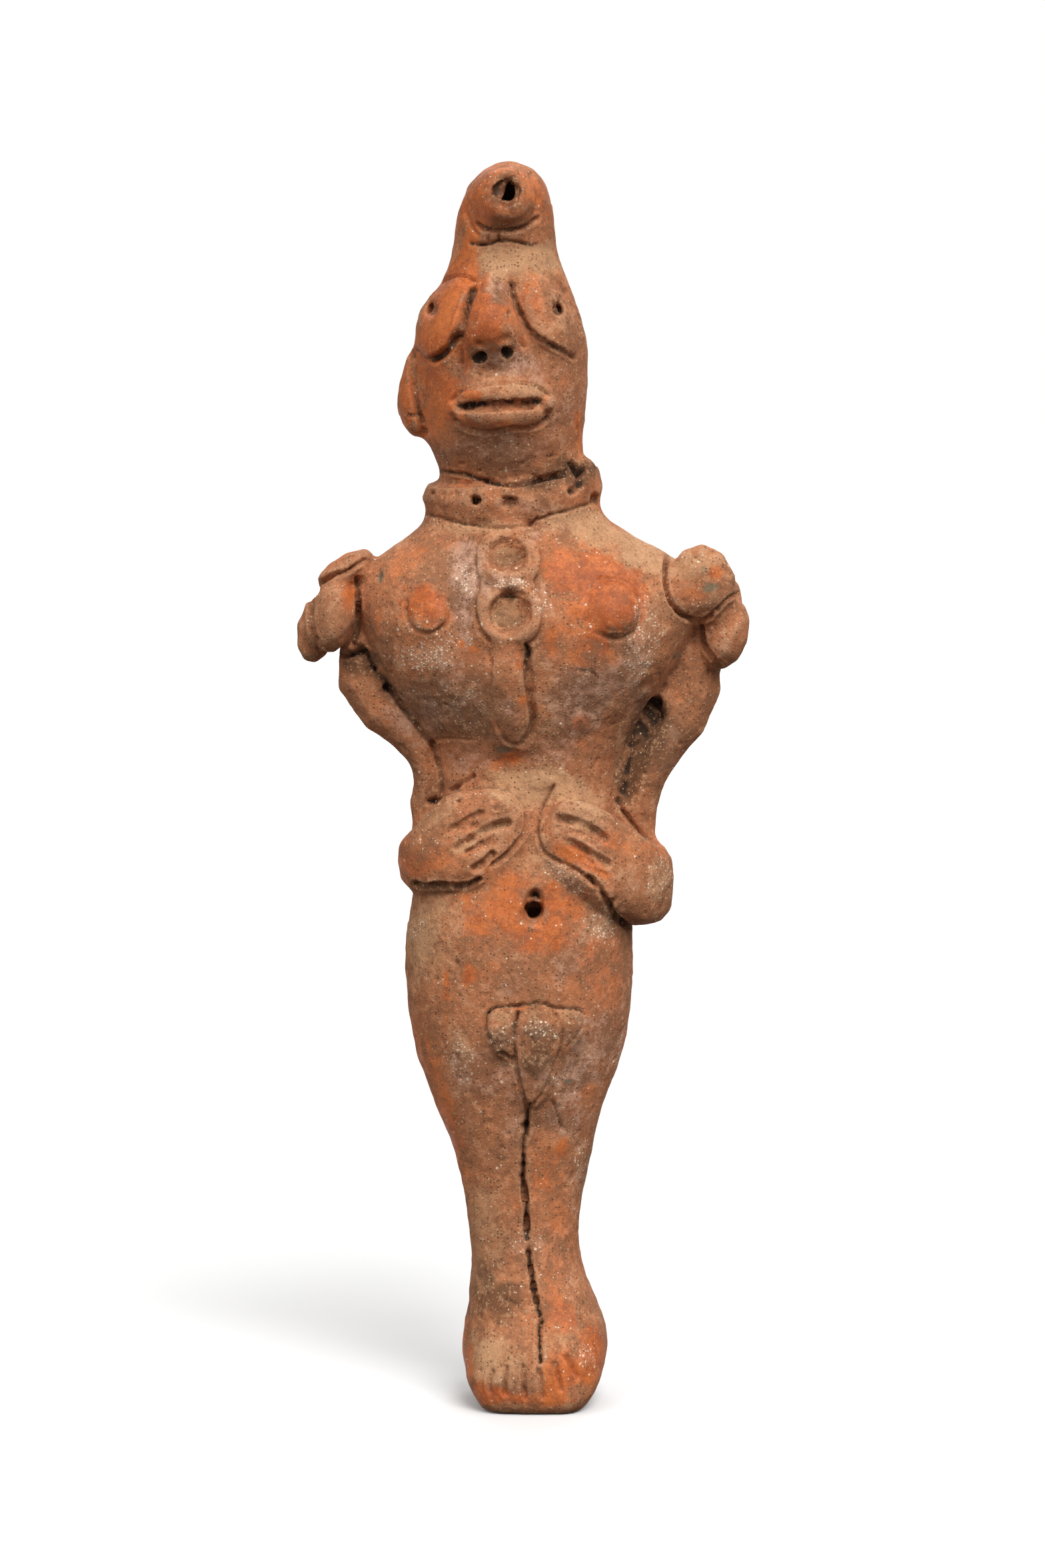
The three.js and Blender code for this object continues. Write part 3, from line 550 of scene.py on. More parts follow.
# %% The chest's tool marks
chest_marks = {
    "left outline of the medallions": stroke(
        [
            (730, 797), (715, 811), (711, 832), (712, 853), (720, 879), (711, 900), (711, 919),
            (717, 943), (735, 965),
        ],
        8, 0.55, soil_and_shade=0.35, ragged=0.7,
    ),
    "right outline of the medallions": stroke(
        [
            (792, 799), (810, 817), (815, 839), (813, 859), (801, 874), (812, 893), (817, 915),
            (815, 940), (806, 960), (789, 969),
        ],
        8, 0.5, soil_and_shade=0.3, ragged=0.7,
    ),
    "crease between the medallions": stroke(
        [(728, 879), (745, 884), (768, 884), (792, 879)],
        5, 0.35, soil_and_shade=0.2,
    ),
    "upper medallion's dent": prick((759, 829), (36, 27), 1.3, soil_and_shade=0.25),
    "upper dent's shaded rim": stroke(
        [(734, 822), (745, 811), (765, 808), (783, 815)],
        5, 0.6, soil_and_shade=0.5, ragged=0.7,
    ),
    "upper dent's right rim": stroke([(786, 822), (783, 838), (768, 849)], 5, 0.5, soil_and_shade=0.4, ragged=0.9),
    "lower medallion's dent": prick((767, 914), (38, 38), 1.3, soil_and_shade=0.25),
    "corner of the lower dent": prick((764, 896), (17, 16), 1.1, tilt=15, soil_and_shade=0.8),
    "lower dent's shaded rim": stroke(
        [(740, 935), (739, 912), (750, 893), (768, 884), (790, 892)],
        7, 0.6, soil_and_shade=0.5,
    ),
    "left side of the tongue": stroke(
        [(735, 980), (735, 1036), (740, 1073), (749, 1098), (762, 1116), (777, 1117)],
        8, 0.4, soil_and_shade=0.15, ragged=0.7,
    ),
    "deep end of the crack": stroke([(790, 968), (797, 980), (791, 998)], 8, 1.0, soil_and_shade=1.0, ragged=0.9),
    "crack beside the tongue": stroke(
        [(791, 978), (793, 1014), (796, 1046), (802, 1074), (799, 1098), (784, 1117)],
        15, 0.8, soil_and_shade=0.4, ragged=0.6,
    ),
    "upper edge of the left disc": stroke(
        [(612, 893), (626, 884), (645, 882), (664, 889)],
        4, 0.25, soil_and_shade=0.1,
    ),
    "left disc's outline": stroke(
        [(610, 902), (607, 925), (620, 946), (642, 953), (664, 944), (675, 925), (672, 900)],
        8, 0.5, soil_and_shade=0.35, ragged=0.7,
    ),
    "bright curve on the right disc": stroke(
        [(892, 921), (897, 936), (909, 948), (932, 948)],
        4, -0.3, soil_and_shade=0.0,
    ),
    "right disc's pad": pat((924, 908), (46, 50), 0.4),
    "right disc's outline": stroke(
        [(900, 868), (940, 872), (964, 900), (963, 934), (948, 955), (922, 962), (896, 950)],
        10, 0.5, soil_and_shade=0.15,
    ),
    "small pad by the tongue": prick((878, 1084), (19, 19), -0.2, soil_and_shade=0.0),
    "line over the small pad": stroke([(858, 1072), (878, 1064), (896, 1075)], 3, 0.2, soil_and_shade=0.2),
    "nick in the right breast": stroke(
        [(860, 1010), (884, 1006), (896, 1016)],
        4, 0.5, soil_and_shade=0.7, ragged=0.9,
    ),
    "fold over the waist": stroke([(640, 1118), (654, 1110), (682, 1108), (712, 1112)], 4, 0.3, soil_and_shade=0.2),
}
report(chest_marks)

# %% [markdown]
# Bosses of pressed pellets sit on both shoulders. Dark lines of shadow and soil part them from each other
# and from the shoulder.

# %% The shoulders' tool marks
shoulder_marks = {
    "gap under the left top pellet": stroke(
        [(473, 880), (501, 860), (517, 861), (534, 849), (548, 840)],
        9, 1.4,
    ),
    "left pellets' inner gap": stroke([(536, 868), (538, 912), (537, 945), (529, 968)], 10, 1.4),
    "left pellets' outer gap": stroke(
        [(469, 890), (465, 924), (469, 952), (482, 975)],
        11, 1.5, soil_and_shade=0.6,
    ),
    "gap under the left pellets": stroke([(498, 984), (522, 985), (545, 975)], 12, 1.3),
    "speck by the left pellets": prick((569, 866), (4, 10), 0.5, tilt=20, soil_and_shade=0.5),
    "big right pellet's outline": stroke(
        [(1003, 828), (998, 850), (999, 878), (1006, 904), (1024, 925), (1048, 934), (1066, 926)],
        9, 1.5,
    ),
    "gap between the right pellets": stroke(
        [(1060, 928), (1075, 917), (1090, 901), (1108, 890)],
        7, 1.0, soil_and_shade=0.5,
    ),
    "small right pellet's outline": stroke(
        [(1052, 936), (1053, 962), (1065, 985), (1082, 1000)],
        10, 1.7,
    ),
    "press on the big right pellet": stroke([(1062, 862), (1082, 884), (1096, 900)], 5, 0.2, soil_and_shade=0.0),
}
report(shoulder_marks)

# %% [markdown]
# The arms lie against the body. The joins are deep, dark and full of sand, with an awl hole in each
# armpit.

# %% The arms' tool marks
# The soil in these joins and hollows also paints their shade.
arm_marks = {
    "join of the left arm": stroke(
        [(548, 978), (560, 1000), (573, 1014), (590, 1040), (606, 1062), (637, 1104), (651, 1118)],
        11, 0.9, soil_and_shade=0.55, ragged=0.6,
    ),
    "left armpit": stroke([(540, 975), (553, 1000), (566, 1022)], 22, 0.8, soil_and_shade=0.4, ragged=0.3),
    "small hole in the left armpit": prick((563, 1003), (5, 5), 1.4),
    "awl hole in the left armpit": prick((580, 1032), (7, 7), 2.0, soil_and_shade=2.5),
    "left arm's inner gap": stroke(
        [(651, 1120), (660, 1148), (664, 1176), (662, 1200)],
        11, 1.1, soil_and_shade=0.5,
    ),
    "hollow beside the left wrist": stroke(
        [(645, 1130), (652, 1160), (652, 1192)],
        20, 0.5, soil_and_shade=0.2, ragged=0.3,
    ),
    "hole at the left wrist": prick((651, 1203), (14, 7), 1.6),
    "awl hole in the right armpit": prick((984, 1053), (11, 9.5), 2.6, soil_and_shade=2.5),
    "hollow under the right armpit": prick((982, 1074), (20, 18), 0.7, soil_and_shade=0.35),
    "hollow beside the right arm": stroke(
        [(982, 1070), (970, 1094), (956, 1126), (946, 1160), (938, 1190)],
        46, 1.5, soil_and_shade=0.4, ragged=0.1, full=1.0,
    ),
    "deep line of the right arm": stroke(
        [(962, 1090), (947, 1118), (938, 1150), (932, 1190)],
        15, 0.5, soil_and_shade=0.5, ragged=0.6,
    ),
    "hole above the right wrist": prick((927, 1202), (6, 7), 1.0),
    "join of the right wrist": stroke(
        [(928, 1208), (937, 1221), (948, 1235), (965, 1254), (985, 1266)],
        8, 1.0,
    ),
    "press on the left elbow": stroke([(486, 1052), (500, 1042), (520, 1056)], 5, 0.25, soil_and_shade=0.1),
}
report(arm_marks)

# %% [markdown]
# Each hand is one flat slab. The fingers are only strokes pressed into it, and the slabs end in a soft
# step on the belly, with deep gaps under their lower edges.

# %% The hands' tool marks
# The soil in the gaps under the hands also paints their shadow.
hand_marks = {
    "step above the left hand": stroke(
        [(676, 1186), (692, 1177), (711, 1165)],
        9, 0.6, soil_and_shade=0.3, ragged=0.8,
    ),
    "left hand's finger tips": stroke(
        [(790, 1222), (792, 1245), (778, 1264), (761, 1283), (738, 1300)],
        9, 0.9, soil_and_shade=0.4,
    ),
    "left hand's long gap": stroke(
        [(704, 1262), (721, 1250), (740, 1241), (762, 1236)],
        14, 0.9, soil_and_shade=0.3, ragged=0.7, full=0.65,
    ),
    "palm end of the long gap": stroke([(684, 1273), (706, 1261)], 13, 0.5, soil_and_shade=0.0, full=0.65),
    "left hand's upper gap": stroke(
        [(676, 1246), (705, 1230), (722, 1221)],
        12, 0.55, soil_and_shade=0.15, ragged=0.7, full=0.65,
    ),
    "left hand's lower gap": stroke([(712, 1304), (725, 1296), (739, 1282)], 12, 0.9, soil_and_shade=0.4, full=0.7),
    "left thumb's nick": stroke([(745, 1279), (738, 1298)], 4, 0.5, soil_and_shade=0.6),
    "pit above the left hand": prick((688, 1202), (5, 4), 0.8),
    "pit beside the left hand": prick((743, 1213), (4, 6), 0.6, soil_and_shade=0.5),
    "gap under the left hand": stroke(
        [(622, 1326), (640, 1331), (656, 1327), (682, 1330), (704, 1330), (720, 1319)],
        10, 1.9, soil_and_shade=1.0,
    ),
    "deepest part of the gap": stroke([(632, 1331), (650, 1330), (668, 1331)], 9, 0.9, soil_and_shade=1.0),
    "right hand's finger tips": stroke(
        [
            (831, 1178), (819, 1204), (808, 1224), (804, 1247), (810, 1270), (822, 1286), (842, 1295),
            (862, 1303), (882, 1318),
        ],
        7, 0.8, soil_and_shade=0.5,
    ),
    "right hand's upper gap": stroke(
        [(838, 1227), (872, 1236), (892, 1247), (908, 1259)],
        14, 0.9, soil_and_shade=0.35, ragged=0.7, full=0.65,
    ),
    "right hand's lower gap": stroke(
        [(857, 1265), (878, 1277), (898, 1289), (911, 1296)],
        14, 0.9, soil_and_shade=0.3, ragged=0.7, full=0.65,
    ),
    "right hand's first nick": stroke([(855, 1204), (868, 1208)], 5, 0.6, soil_and_shade=0.6),
    "right hand's knuckle line": stroke([(832, 1256), (856, 1262)], 5, 0.3, soil_and_shade=0.2),
    "right hand's lowest line": stroke([(872, 1296), (896, 1308), (912, 1312)], 5, 0.4, soil_and_shade=0.1),
    "gap under the right hand": stroke(
        [(884, 1318), (901, 1334), (909, 1353), (920, 1373), (940, 1390), (962, 1396)],
        12, 1.5, soil_and_shade=0.6, ragged=0.8,
    ),
    "awl hole in the gap": prick((914, 1357), (9, 9), 1.8),
    "dust pad above the hands": pat((812, 1172), (30, 16), 0.35),
    "edge of the dust pad": stroke(
        [(790, 1168), (812, 1160), (838, 1164)],
        5, 0.35, soil_and_shade=0.4, ragged=0.9,
    ),
}
report(hand_marks)

# %% [markdown]
# The navel is a round press with an awl hole low in it. The apron under it is a tongue and two pads, with
# a ragged crack along their top.

# %% The belly's and the apron's tool marks
belly_marks = {
    "navel": prick((802, 1356), (18, 26), 1.0, soil_and_shade=0.5),
    "awl hole in the navel": prick((797.5, 1368), (8, 8), 3.0, soil_and_shade=3.0),
    "upper hole in the navel": prick((804, 1346), (10, 13), 1.5),
    "scratch beside the navel": stroke([(700, 1366), (698, 1382)], 4, 0.4, soil_and_shade=0.4),
    "pit in the left hip": prick((686, 1445), (5, 6), 0.5, soil_and_shade=0.5),
    "pit in the left thigh": prick((655, 1470), (5, 5), 0.4, soil_and_shade=0.5),
    "ragged crack over the apron": stroke(
        [
            (733, 1520), (743, 1511), (774, 1512), (799, 1505), (815, 1506), (836, 1515), (868, 1513),
            (878, 1522),
        ],
        6, 0.65, soil_and_shade=0.8, ragged=1.0,
    ),
    "apron's left pad": pat((750, 1540), (21, 34), 0.45),
    "apron's tongue": pat((806, 1560), (26, 66), 0.35, tilt=4),
    "lump under the left pad": pat((752, 1576), (12, 12), 0.35),
    "left pad's outline": stroke([(731, 1522), (727, 1545), (736, 1562)], 7, 0.6, soil_and_shade=0.6, ragged=0.8),
    "left side of the apron's tongue": stroke(
        [(777, 1520), (770, 1547), (770, 1572), (774, 1606), (781, 1636), (788, 1656)],
        9, 1.0, soil_and_shade=0.6,
    ),
    "right side of the apron's tongue": stroke(
        [(834, 1522), (845, 1547), (843, 1572), (830, 1606), (820, 1634), (802, 1657)],
        7, 0.5, soil_and_shade=0.4, ragged=0.8,
    ),
    "deep end under the left pad": stroke([(752, 1579), (769, 1591)], 7, 1.1),
    "right pad's outline": stroke([(878, 1520), (874, 1547), (850, 1573)], 4, 0.3, soil_and_shade=0.25),
    "hole at the fork": prick((794, 1662), (9, 8), 1.6),
    "short crack beside the fork": stroke([(829, 1652), (836, 1672), (843, 1694)], 5, 0.5, soil_and_shade=0.7),
}
report(belly_marks)

# %% [markdown]
# A line from the fork to the feet stands for both legs. It was pricked and torn rather than cut, so its
# width changes and clay bridges it in places. Short presses at the lower edge make toes.

# %% The legs' and the feet's tool marks
leg_marks = {
    "first hole in the leg line": prick((788, 1691), (7, 7), 1.7),
    "leg line from the fork": stroke(
        [(792, 1664), (790, 1702), (784, 1714), (786, 1749), (784, 1768)],
        10, 1.3, soil_and_shade=0.95, ragged=0.5,
    ),
    "hole at the thighs": prick((785, 1750), (5, 6), 1.2),
    "hole above the knees": prick((784, 1768), (4, 6), 1.0),
    "leg line at the knees": stroke(
        [(785, 1772), (787, 1786), (790, 1815), (791, 1860)],
        10, 1.3, soil_and_shade=1.0, ragged=0.4,
    ),
    "leg line at the shins": stroke(
        [(793, 1878), (798, 1915), (803, 1946), (810, 1974)],
        9, 1.2, soil_and_shade=1.0, ragged=0.3,
    ),
    "hole at the ankles": prick((812.5, 1983), (6, 6), 1.6),
    "leg line between the feet": stroke(
        [(810, 1988), (809, 2012), (811, 2044)],
        9, 1.2, soil_and_shade=0.9, ragged=0.3,
    ),
    "crease over the left foot": stroke([(758, 1950), (775, 1958), (786, 1974)], 9, 0.35, soil_and_shade=0.1),
}
toe_gaps = {
    "left foot's outer gap": [(739, 2058), (733, 2072), (735, 2088)],
    "left foot's middle gap": [(760, 2052), (757, 2070), (758, 2092)],
    "left foot's inner gap": [(785, 2050), (786, 2070), (787, 2098)],
    "right foot's inner gap": [(808, 2056), (812, 2074), (814, 2098)],
    "right foot's middle gap": [(832, 2046), (838, 2064), (842, 2086)],
    "right foot's outer gap": [(850, 2036), (858, 2050), (866, 2068)],
}
for name, path in toe_gaps.items():
    leg_marks[name] = stroke(path, width=10, depth=0.7, soil_and_shade=0.05, ragged=0.3)
leg_marks["ridge on the right foot"] = stroke([(858, 2024), (866, 2042), (872, 2058)], 6, -0.3, soil_and_shade=0.0)
report(leg_marks)
skin.write()
print(len(marks), "strokes and pricks in all")

# %% [markdown]
# The fine mesh took the tool marks, and now it is too heavy. A Decimate modifier joins triangles where the
# skin is even and keeps them in the creases, and a vertex group makes it thin the back first. It can leave
# a flat scrap of two triangles beside the skin, whose points have only two edges, and scraps are deleted.

# %% A coarser back
MOST_TRIANGLES = 197_000
FRONT_SHARE = 0.4  # how readily the front is thinned, next to the back
STEPS = 10  # steps of weight from the front to the back

back = idol.vertex_groups.new(name="back")
backness = ramp(-(skin.normals @ TO_CAMERA), -0.15, 0.35)
for level in range(STEPS + 1):
    chosen = np.flatnonzero(np.round(backness * STEPS) == level)
    back.add(chosen.tolist(), FRONT_SHARE + (1 - FRONT_SHARE) * level / STEPS, "REPLACE")
triangles = 2 * len(idol.data.polygons)
print("before thinning:", triangles, "triangles")
if triangles > MOST_TRIANGLES:
    modify(
        idol,
        "DECIMATE",
        ratio=MOST_TRIANGLES / triangles,
        use_collapse_triangulate=True,
        vertex_group="back",
        vertex_group_factor=1.0,
    )
idol.vertex_groups.clear()
only(idol)
bpy.ops.object.mode_set(mode="EDIT")
bpy.ops.mesh.select_all(action="DESELECT")
bpy.ops.object.mode_set(mode="OBJECT")
scraps = Skin(idol).around < 3  # every point of a closed skin of triangles has three edges or more
idol.data.vertices.foreach_set("select", scraps)
bpy.ops.object.mode_set(mode="EDIT")
bpy.ops.mesh.delete(type="VERT")
bpy.ops.object.mode_set(mode="OBJECT")
print("after thinning:", len(idol.data.polygons), "faces,", int(scraps.sum()), "points of scraps deleted")
skin = Skin(idol)

# %% [markdown]
# Two pushed points can cross where strokes overlap, so the skin is eased once very lightly. Then each
# finish gets its own map on the points of the mesh, painted with soft oval dabs, as with a brush in
# vertex paint: burnish, buff dust with a painted highlight strip, ash grey, soil with painted shade, mineral
# grains and green stains. The dabs are placed one by one and grouped by the figure's parts, and noise
# breaks up their edges. The back has no photograph, so it gets the same finishes from noise alone, apart
# from soil and stains.

# %% Maps of the finishes
EASED = 0.4  # how far each point goes to the mean of its neighbours
DAB_REACH, DAB_FADE = 1.65, 1.3  # where a dab ends and how wide its soft edge is, in radii
COARSE_WOBBLE, FINE_WOBBLE = 0.9, 0.6  # how much noise of both sizes breaks up that edge

skin.points = (1 - EASED) * skin.points + EASED * skin.spread_points(1)
skin.write()


def paint(regions, wobble_size=3.5, seed=11):
    """A map from 0 to 1 of the oval dabs in all regions of the figure. A dab is a column, a row and two
    radii in pixels, a tilt in degrees and a strength."""
    wobble = COARSE_WOBBLE * (lattice(skin.points, wobble_size, seed) - 0.5)
    wobble += FINE_WOBBLE * (lattice(skin.points, wobble_size / 3, seed + 1) - 0.5)
    bare = np.ones(len(skin.points))
    for *place, strength in sum(regions.values(), []):
        dab = strength * ramp(DAB_REACH - oval(*place) + wobble, 0.0, DAB_FADE)
        bare *= 1 - dab * (skin.facing > 0)
    return 1 - bare


BURNISH = {
    "topknot": [(740, 300, 75, 52, 0, 0.75), (703, 370, 14, 70, 10, 0.8), (820, 290, 18, 60, -8, 0.35)],
    "left ear": [(609, 590, 14, 68, 0, 0.8)],
    "left eye": [(672, 462, 38, 72, 22, 1.0), (640, 510, 30, 34, 0, 0.8), (700, 540, 9, 28, 0, 0.7)],
    "right eye": [(797, 440, 16, 42, -6, 0.6), (838, 420, 26, 16, 30, 0.4)],
    "nose": [(735, 488, 38, 34, 0, 1.0), (720, 455, 14, 22, 0, 0.7)],
    "mouth": [
        (660, 590, 30, 44, 0, 0.8), (712, 596, 14, 9, 0, 0.9), (700, 632, 26, 12, 10, 0.55),
        (760, 637, 44, 9, 0, 0.5), (806, 596, 22, 9, 12, 0.4),
    ],
    "cheeks and jaw": [(640, 640, 18, 30, 0, 0.6), (842, 575, 18, 16, 0, 0.4), (868, 650, 8, 30, 0, 0.6)],
    "collar": [(735, 752, 12, 12, 0, 0.75), (690, 725, 24, 7, 5, 0.4)],
    "left boss": [(520, 835, 26, 9, -15, 0.5), (520, 900, 12, 28, 8, 0.65), (566, 935, 8, 40, 8, 0.4)],
    "right boss": [(1072, 858, 11, 8, 40, 1.0), (1040, 895, 20, 12, 0, 0.35)],
    "right arm": [(1010, 1180, 18, 40, 10, 0.4), (1030, 1040, 20, 10, 0, 0.35)],
    "medallions and tongue": [
        (711, 975, 9, 6, 20, 0.7), (780, 990, 9, 20, 0, 0.65), (784, 1052, 9, 12, 0, 0.6),
        (752, 1088, 20, 12, 0, 0.35),
    ],
    "left shoulder and breast": [
        (660, 815, 30, 10, -8, 0.38), (606, 852, 18, 40, 32, 0.4), (642, 915, 33, 33, 0, 0.95),
        (690, 966, 7, 6, 0, 0.9),
    ],
    "right shoulder and breast": [
        (848, 846, 32, 32, 10, 0.8), (922, 906, 42, 46, 0, 1.0), (905, 890, 50, 54, 0, 0.7),
        (875, 868, 44, 34, 20, 0.9), (862, 950, 28, 18, 0, 0.5), (888, 975, 32, 22, 0, 0.6),
        (826, 965, 9, 20, 0, 0.5),
    ],
    "ribs": [(872, 1086, 14, 12, 0, 0.5)],
    "waist": [(762, 1140, 30, 14, -25, 0.7), (876, 1120, 14, 16, 0, 0.5)],
    "left hand": [
        (640, 1290, 48, 24, 4, 0.5), (600, 1290, 16, 40, 0, 0.5), (700, 1222, 16, 7, -25, 0.4),
        (745, 1290, 12, 8, -40, 0.4),
    ],
    "right hand": [
        (866, 1284, 34, 15, 25, 0.95), (896, 1306, 22, 12, 25, 0.8), (915, 1262, 26, 14, 25, 0.5),
        (985, 1270, 24, 22, 0, 0.45), (830, 1350, 20, 34, 0, 0.75), (862, 1372, 22, 20, 0, 0.6),
    ],
    "belly": [
        (762, 1352, 44, 46, 0, 0.85), (720, 1390, 26, 40, 0, 0.65), (800, 1408, 60, 22, 0, 0.75),
        (900, 1450, 40, 46, 0, 0.4), (669, 1490, 7, 38, 0, 0.85), (704, 1465, 10, 14, 0, 0.75),
        (745, 1455, 30, 22, 0, 0.4),
    ],
    "apron": [(780, 1510, 9, 5, 0, 0.7)],
    "thighs": [
        (898, 1500, 30, 26, 0, 0.3), (636, 1590, 24, 60, -16, 0.55), (660, 1690, 24, 60, -20, 0.75),
        (700, 1560, 10, 20, 0, 0.3), (846, 1720, 10, 16, 30, 0.7), (880, 1640, 10, 16, 30, 0.5),
    ],
    "shins": [
        (690, 1760, 26, 70, 0, 0.3), (818, 1745, 24, 46, 8, 0.45), (832, 1800, 16, 36, 0, 0.35),
        (775, 1800, 10, 34, 0, 0.45), (838, 1880, 30, 40, 0, 0.35),
    ],
    "feet": [
        (840, 1970, 26, 40, -20, 0.65), (880, 2020, 30, 34, 0, 0.6), (835, 2065, 16, 26, 0, 0.8),
        (866, 2062, 20, 16, 0, 0.9), (890, 2040, 16, 30, 0, 0.7), (745, 2094, 40, 12, 0, 0.75),
        (812, 2100, 70, 9, 0, 0.7), (702, 2045, 9, 28, 0, 0.7), (700, 1990, 10, 60, 0, 0.45),
        (774, 2070, 10, 9, 0, 0.6), (748, 2092, 12, 8, 0, 0.8), (720, 2090, 12, 14, 0, 0.7),
    ],
}
BUFF_AND_RIM_HIGHLIGHT = {
    "topknot": [(745, 299, 12, 8, 0, 1.0)],
    "forehead": [(765, 395, 58, 28, 0, 1.0), (812, 392, 34, 20, 20, 0.6)],
    "left ear": [(622, 585, 5, 56, 0, 0.7)],
    "right eye": [(850, 420, 20, 20, 0, 0.3), (836, 490, 26, 14, 0, 0.35)],
    "nose": [(752, 560, 44, 16, 0, 0.35), (706, 525, 9, 50, 8, 0.5)],
    "mouth": [(800, 586, 30, 10, 5, 0.7), (775, 632, 30, 6, 0, 0.25), (672, 575, 14, 20, 0, 0.2)],
    "left boss": [(500, 935, 22, 36, 8, 0.35), (560, 880, 24, 30, 20, 0.25)],
    "right boss": [(1035, 845, 34, 24, 0, 0.7), (1085, 940, 16, 24, -20, 0.45)],
    # The thin strip along the body's right edge, beside the right arm's recess, is a painted highlight.
    "right arm": [(930, 1120, 8, 60, 4, 0.6)],
    "medallions and tongue": [
        (752, 792, 40, 12, 0, 0.6), (758, 832, 24, 16, 0, 0.9), (766, 925, 28, 20, 0, 0.85),
    ],
    "left shoulder and breast": [(600, 800, 50, 14, -38, 0.4), (684, 795, 30, 12, 10, 0.6)],
    "right shoulder and breast": [
        (893, 926, 3, 6, 0, 1.0), (899, 940, 3, 7, -30, 1.0), (912, 948, 7, 3, 15, 1.0),
        (928, 949, 6, 3, 0, 1.0), (905, 800, 80, 26, 26, 0.9), (840, 780, 30, 14, -15, 0.6),
        (960, 830, 34, 34, 30, 0.8), (980, 900, 20, 60, 0, 0.4),
    ],
    "ribs": [(822, 1080, 20, 60, 0, 0.35)],
    "waist": [(800, 1175, 60, 24, 0, 1.0), (772, 1190, 24, 24, 0, 0.7), (860, 1188, 50, 18, 8, 0.8)],
    "left hand": [
        (650, 1230, 40, 14, -28, 0.45), (700, 1268, 26, 8, -25, 0.8), (738, 1243, 28, 7, -20, 0.8),
    ],
    "right hand": [
        (880, 1220, 30, 20, 20, 0.6), (910, 1300, 30, 16, 20, 0.3), (872, 1237, 34, 7, 24, 0.7),
        (886, 1282, 30, 7, 28, 0.9), (812, 1260, 18, 30, 0, 0.4), (800, 1300, 60, 26, 15, 0.45),
        (900, 1380, 30, 30, 10, 0.5), (980, 1340, 40, 30, 30, 0.25), (1000, 1310, 24, 30, 0, 0.3),
    ],
    "belly": [(640, 1376, 40, 40, 0, 0.7), (655, 1430, 44, 44, 0, 0.5), (618, 1440, 26, 60, 0, 0.3)],
    "apron": [(752, 1525, 18, 8, 0, 0.7), (806, 1524, 22, 12, 0, 0.4), (856, 1524, 20, 10, 0, 0.6)],
    "thighs": [(690, 1568, 14, 30, -20, 0.6)],
    "shins": [(720, 1850, 30, 90, 0, 0.55), (905, 1780, 14, 90, 0, 0.2)],
    "feet": [
        (735, 2030, 44, 36, 0, 0.9), (765, 2060, 30, 20, 0, 0.5), (850, 2000, 26, 14, 10, 0.4),
        (830, 2030, 22, 26, 0, 0.35),
    ],
}
ASH = {
    "left eye": [(700, 460, 9, 40, 12, 0.5)],
    "nose": [(742, 435, 20, 30, 0, 0.7), (745, 540, 44, 18, 0, 0.8), (790, 545, 40, 30, 20, 0.55)],
    "mouth": [(690, 610, 12, 10, 0, 0.2)],
    "cheeks and jaw": [(845, 600, 40, 60, 0, 0.35), (775, 670, 90, 22, 0, 0.55)],
    "collar": [(770, 760, 60, 12, 10, 0.4)],
    "right boss": [(1075, 960, 22, 34, -20, 0.35)],
    "right arm": [(1000, 1120, 26, 40, 20, 0.35)],
    "medallions and tongue": [
        (735, 850, 14, 40, 0, 0.4), (764, 872, 30, 12, 0, 0.7), (800, 800, 16, 16, 0, 0.5),
        (762, 1080, 20, 30, 0, 0.35),
    ],
    "left shoulder and breast": [
        (700, 850, 24, 44, 0, 0.85), (694, 920, 20, 50, 0, 0.8), (700, 1000, 40, 30, 0, 0.35),
    ],
    "right shoulder and breast": [
        (850, 785, 22, 20, 0, 0.5), (952, 880, 12, 50, 0, 0.6), (940, 1000, 40, 44, 0, 0.5),
    ],
    "ribs": [(650, 1060, 80, 50, 0, 0.55), (880, 1040, 66, 50, 0, 0.75)],
    "waist": [(850, 1120, 44, 30, 0, 0.45), (700, 1140, 40, 24, 0, 0.5)],
    "left hand": [(660, 1330, 30, 14, 0, 0.2), (760, 1330, 30, 12, 0, 0.4)],
    "right hand": [(945, 1335, 50, 26, 20, 0.3)],
    "belly": [
        (880, 1400, 30, 20, 0, 0.3), (900, 1460, 40, 60, 0, 0.3), (845, 1450, 20, 24, 0, 0.6),
        (700, 1380, 14, 30, 10, 0.5), (780, 1480, 80, 24, 0, 0.35),
    ],
    "apron": [(806, 1600, 30, 46, 0, 0.5)],
    "thighs": [
        (900, 1560, 50, 50, 0, 0.55), (720, 1610, 60, 50, 0, 0.45), (860, 1620, 44, 46, 0, 0.6),
        (700, 1540, 60, 20, 0, 0.2), (850, 1680, 30, 30, 0, 0.65), (770, 1680, 24, 30, 0, 0.35),
    ],
    "shins": [
        (870, 1760, 16, 60, 10, 0.3), (820, 1860, 30, 24, 0, 0.35), (852, 1920, 10, 60, -6, 0.4),
        (760, 1860, 20, 16, 0, 0.35),
    ],
}
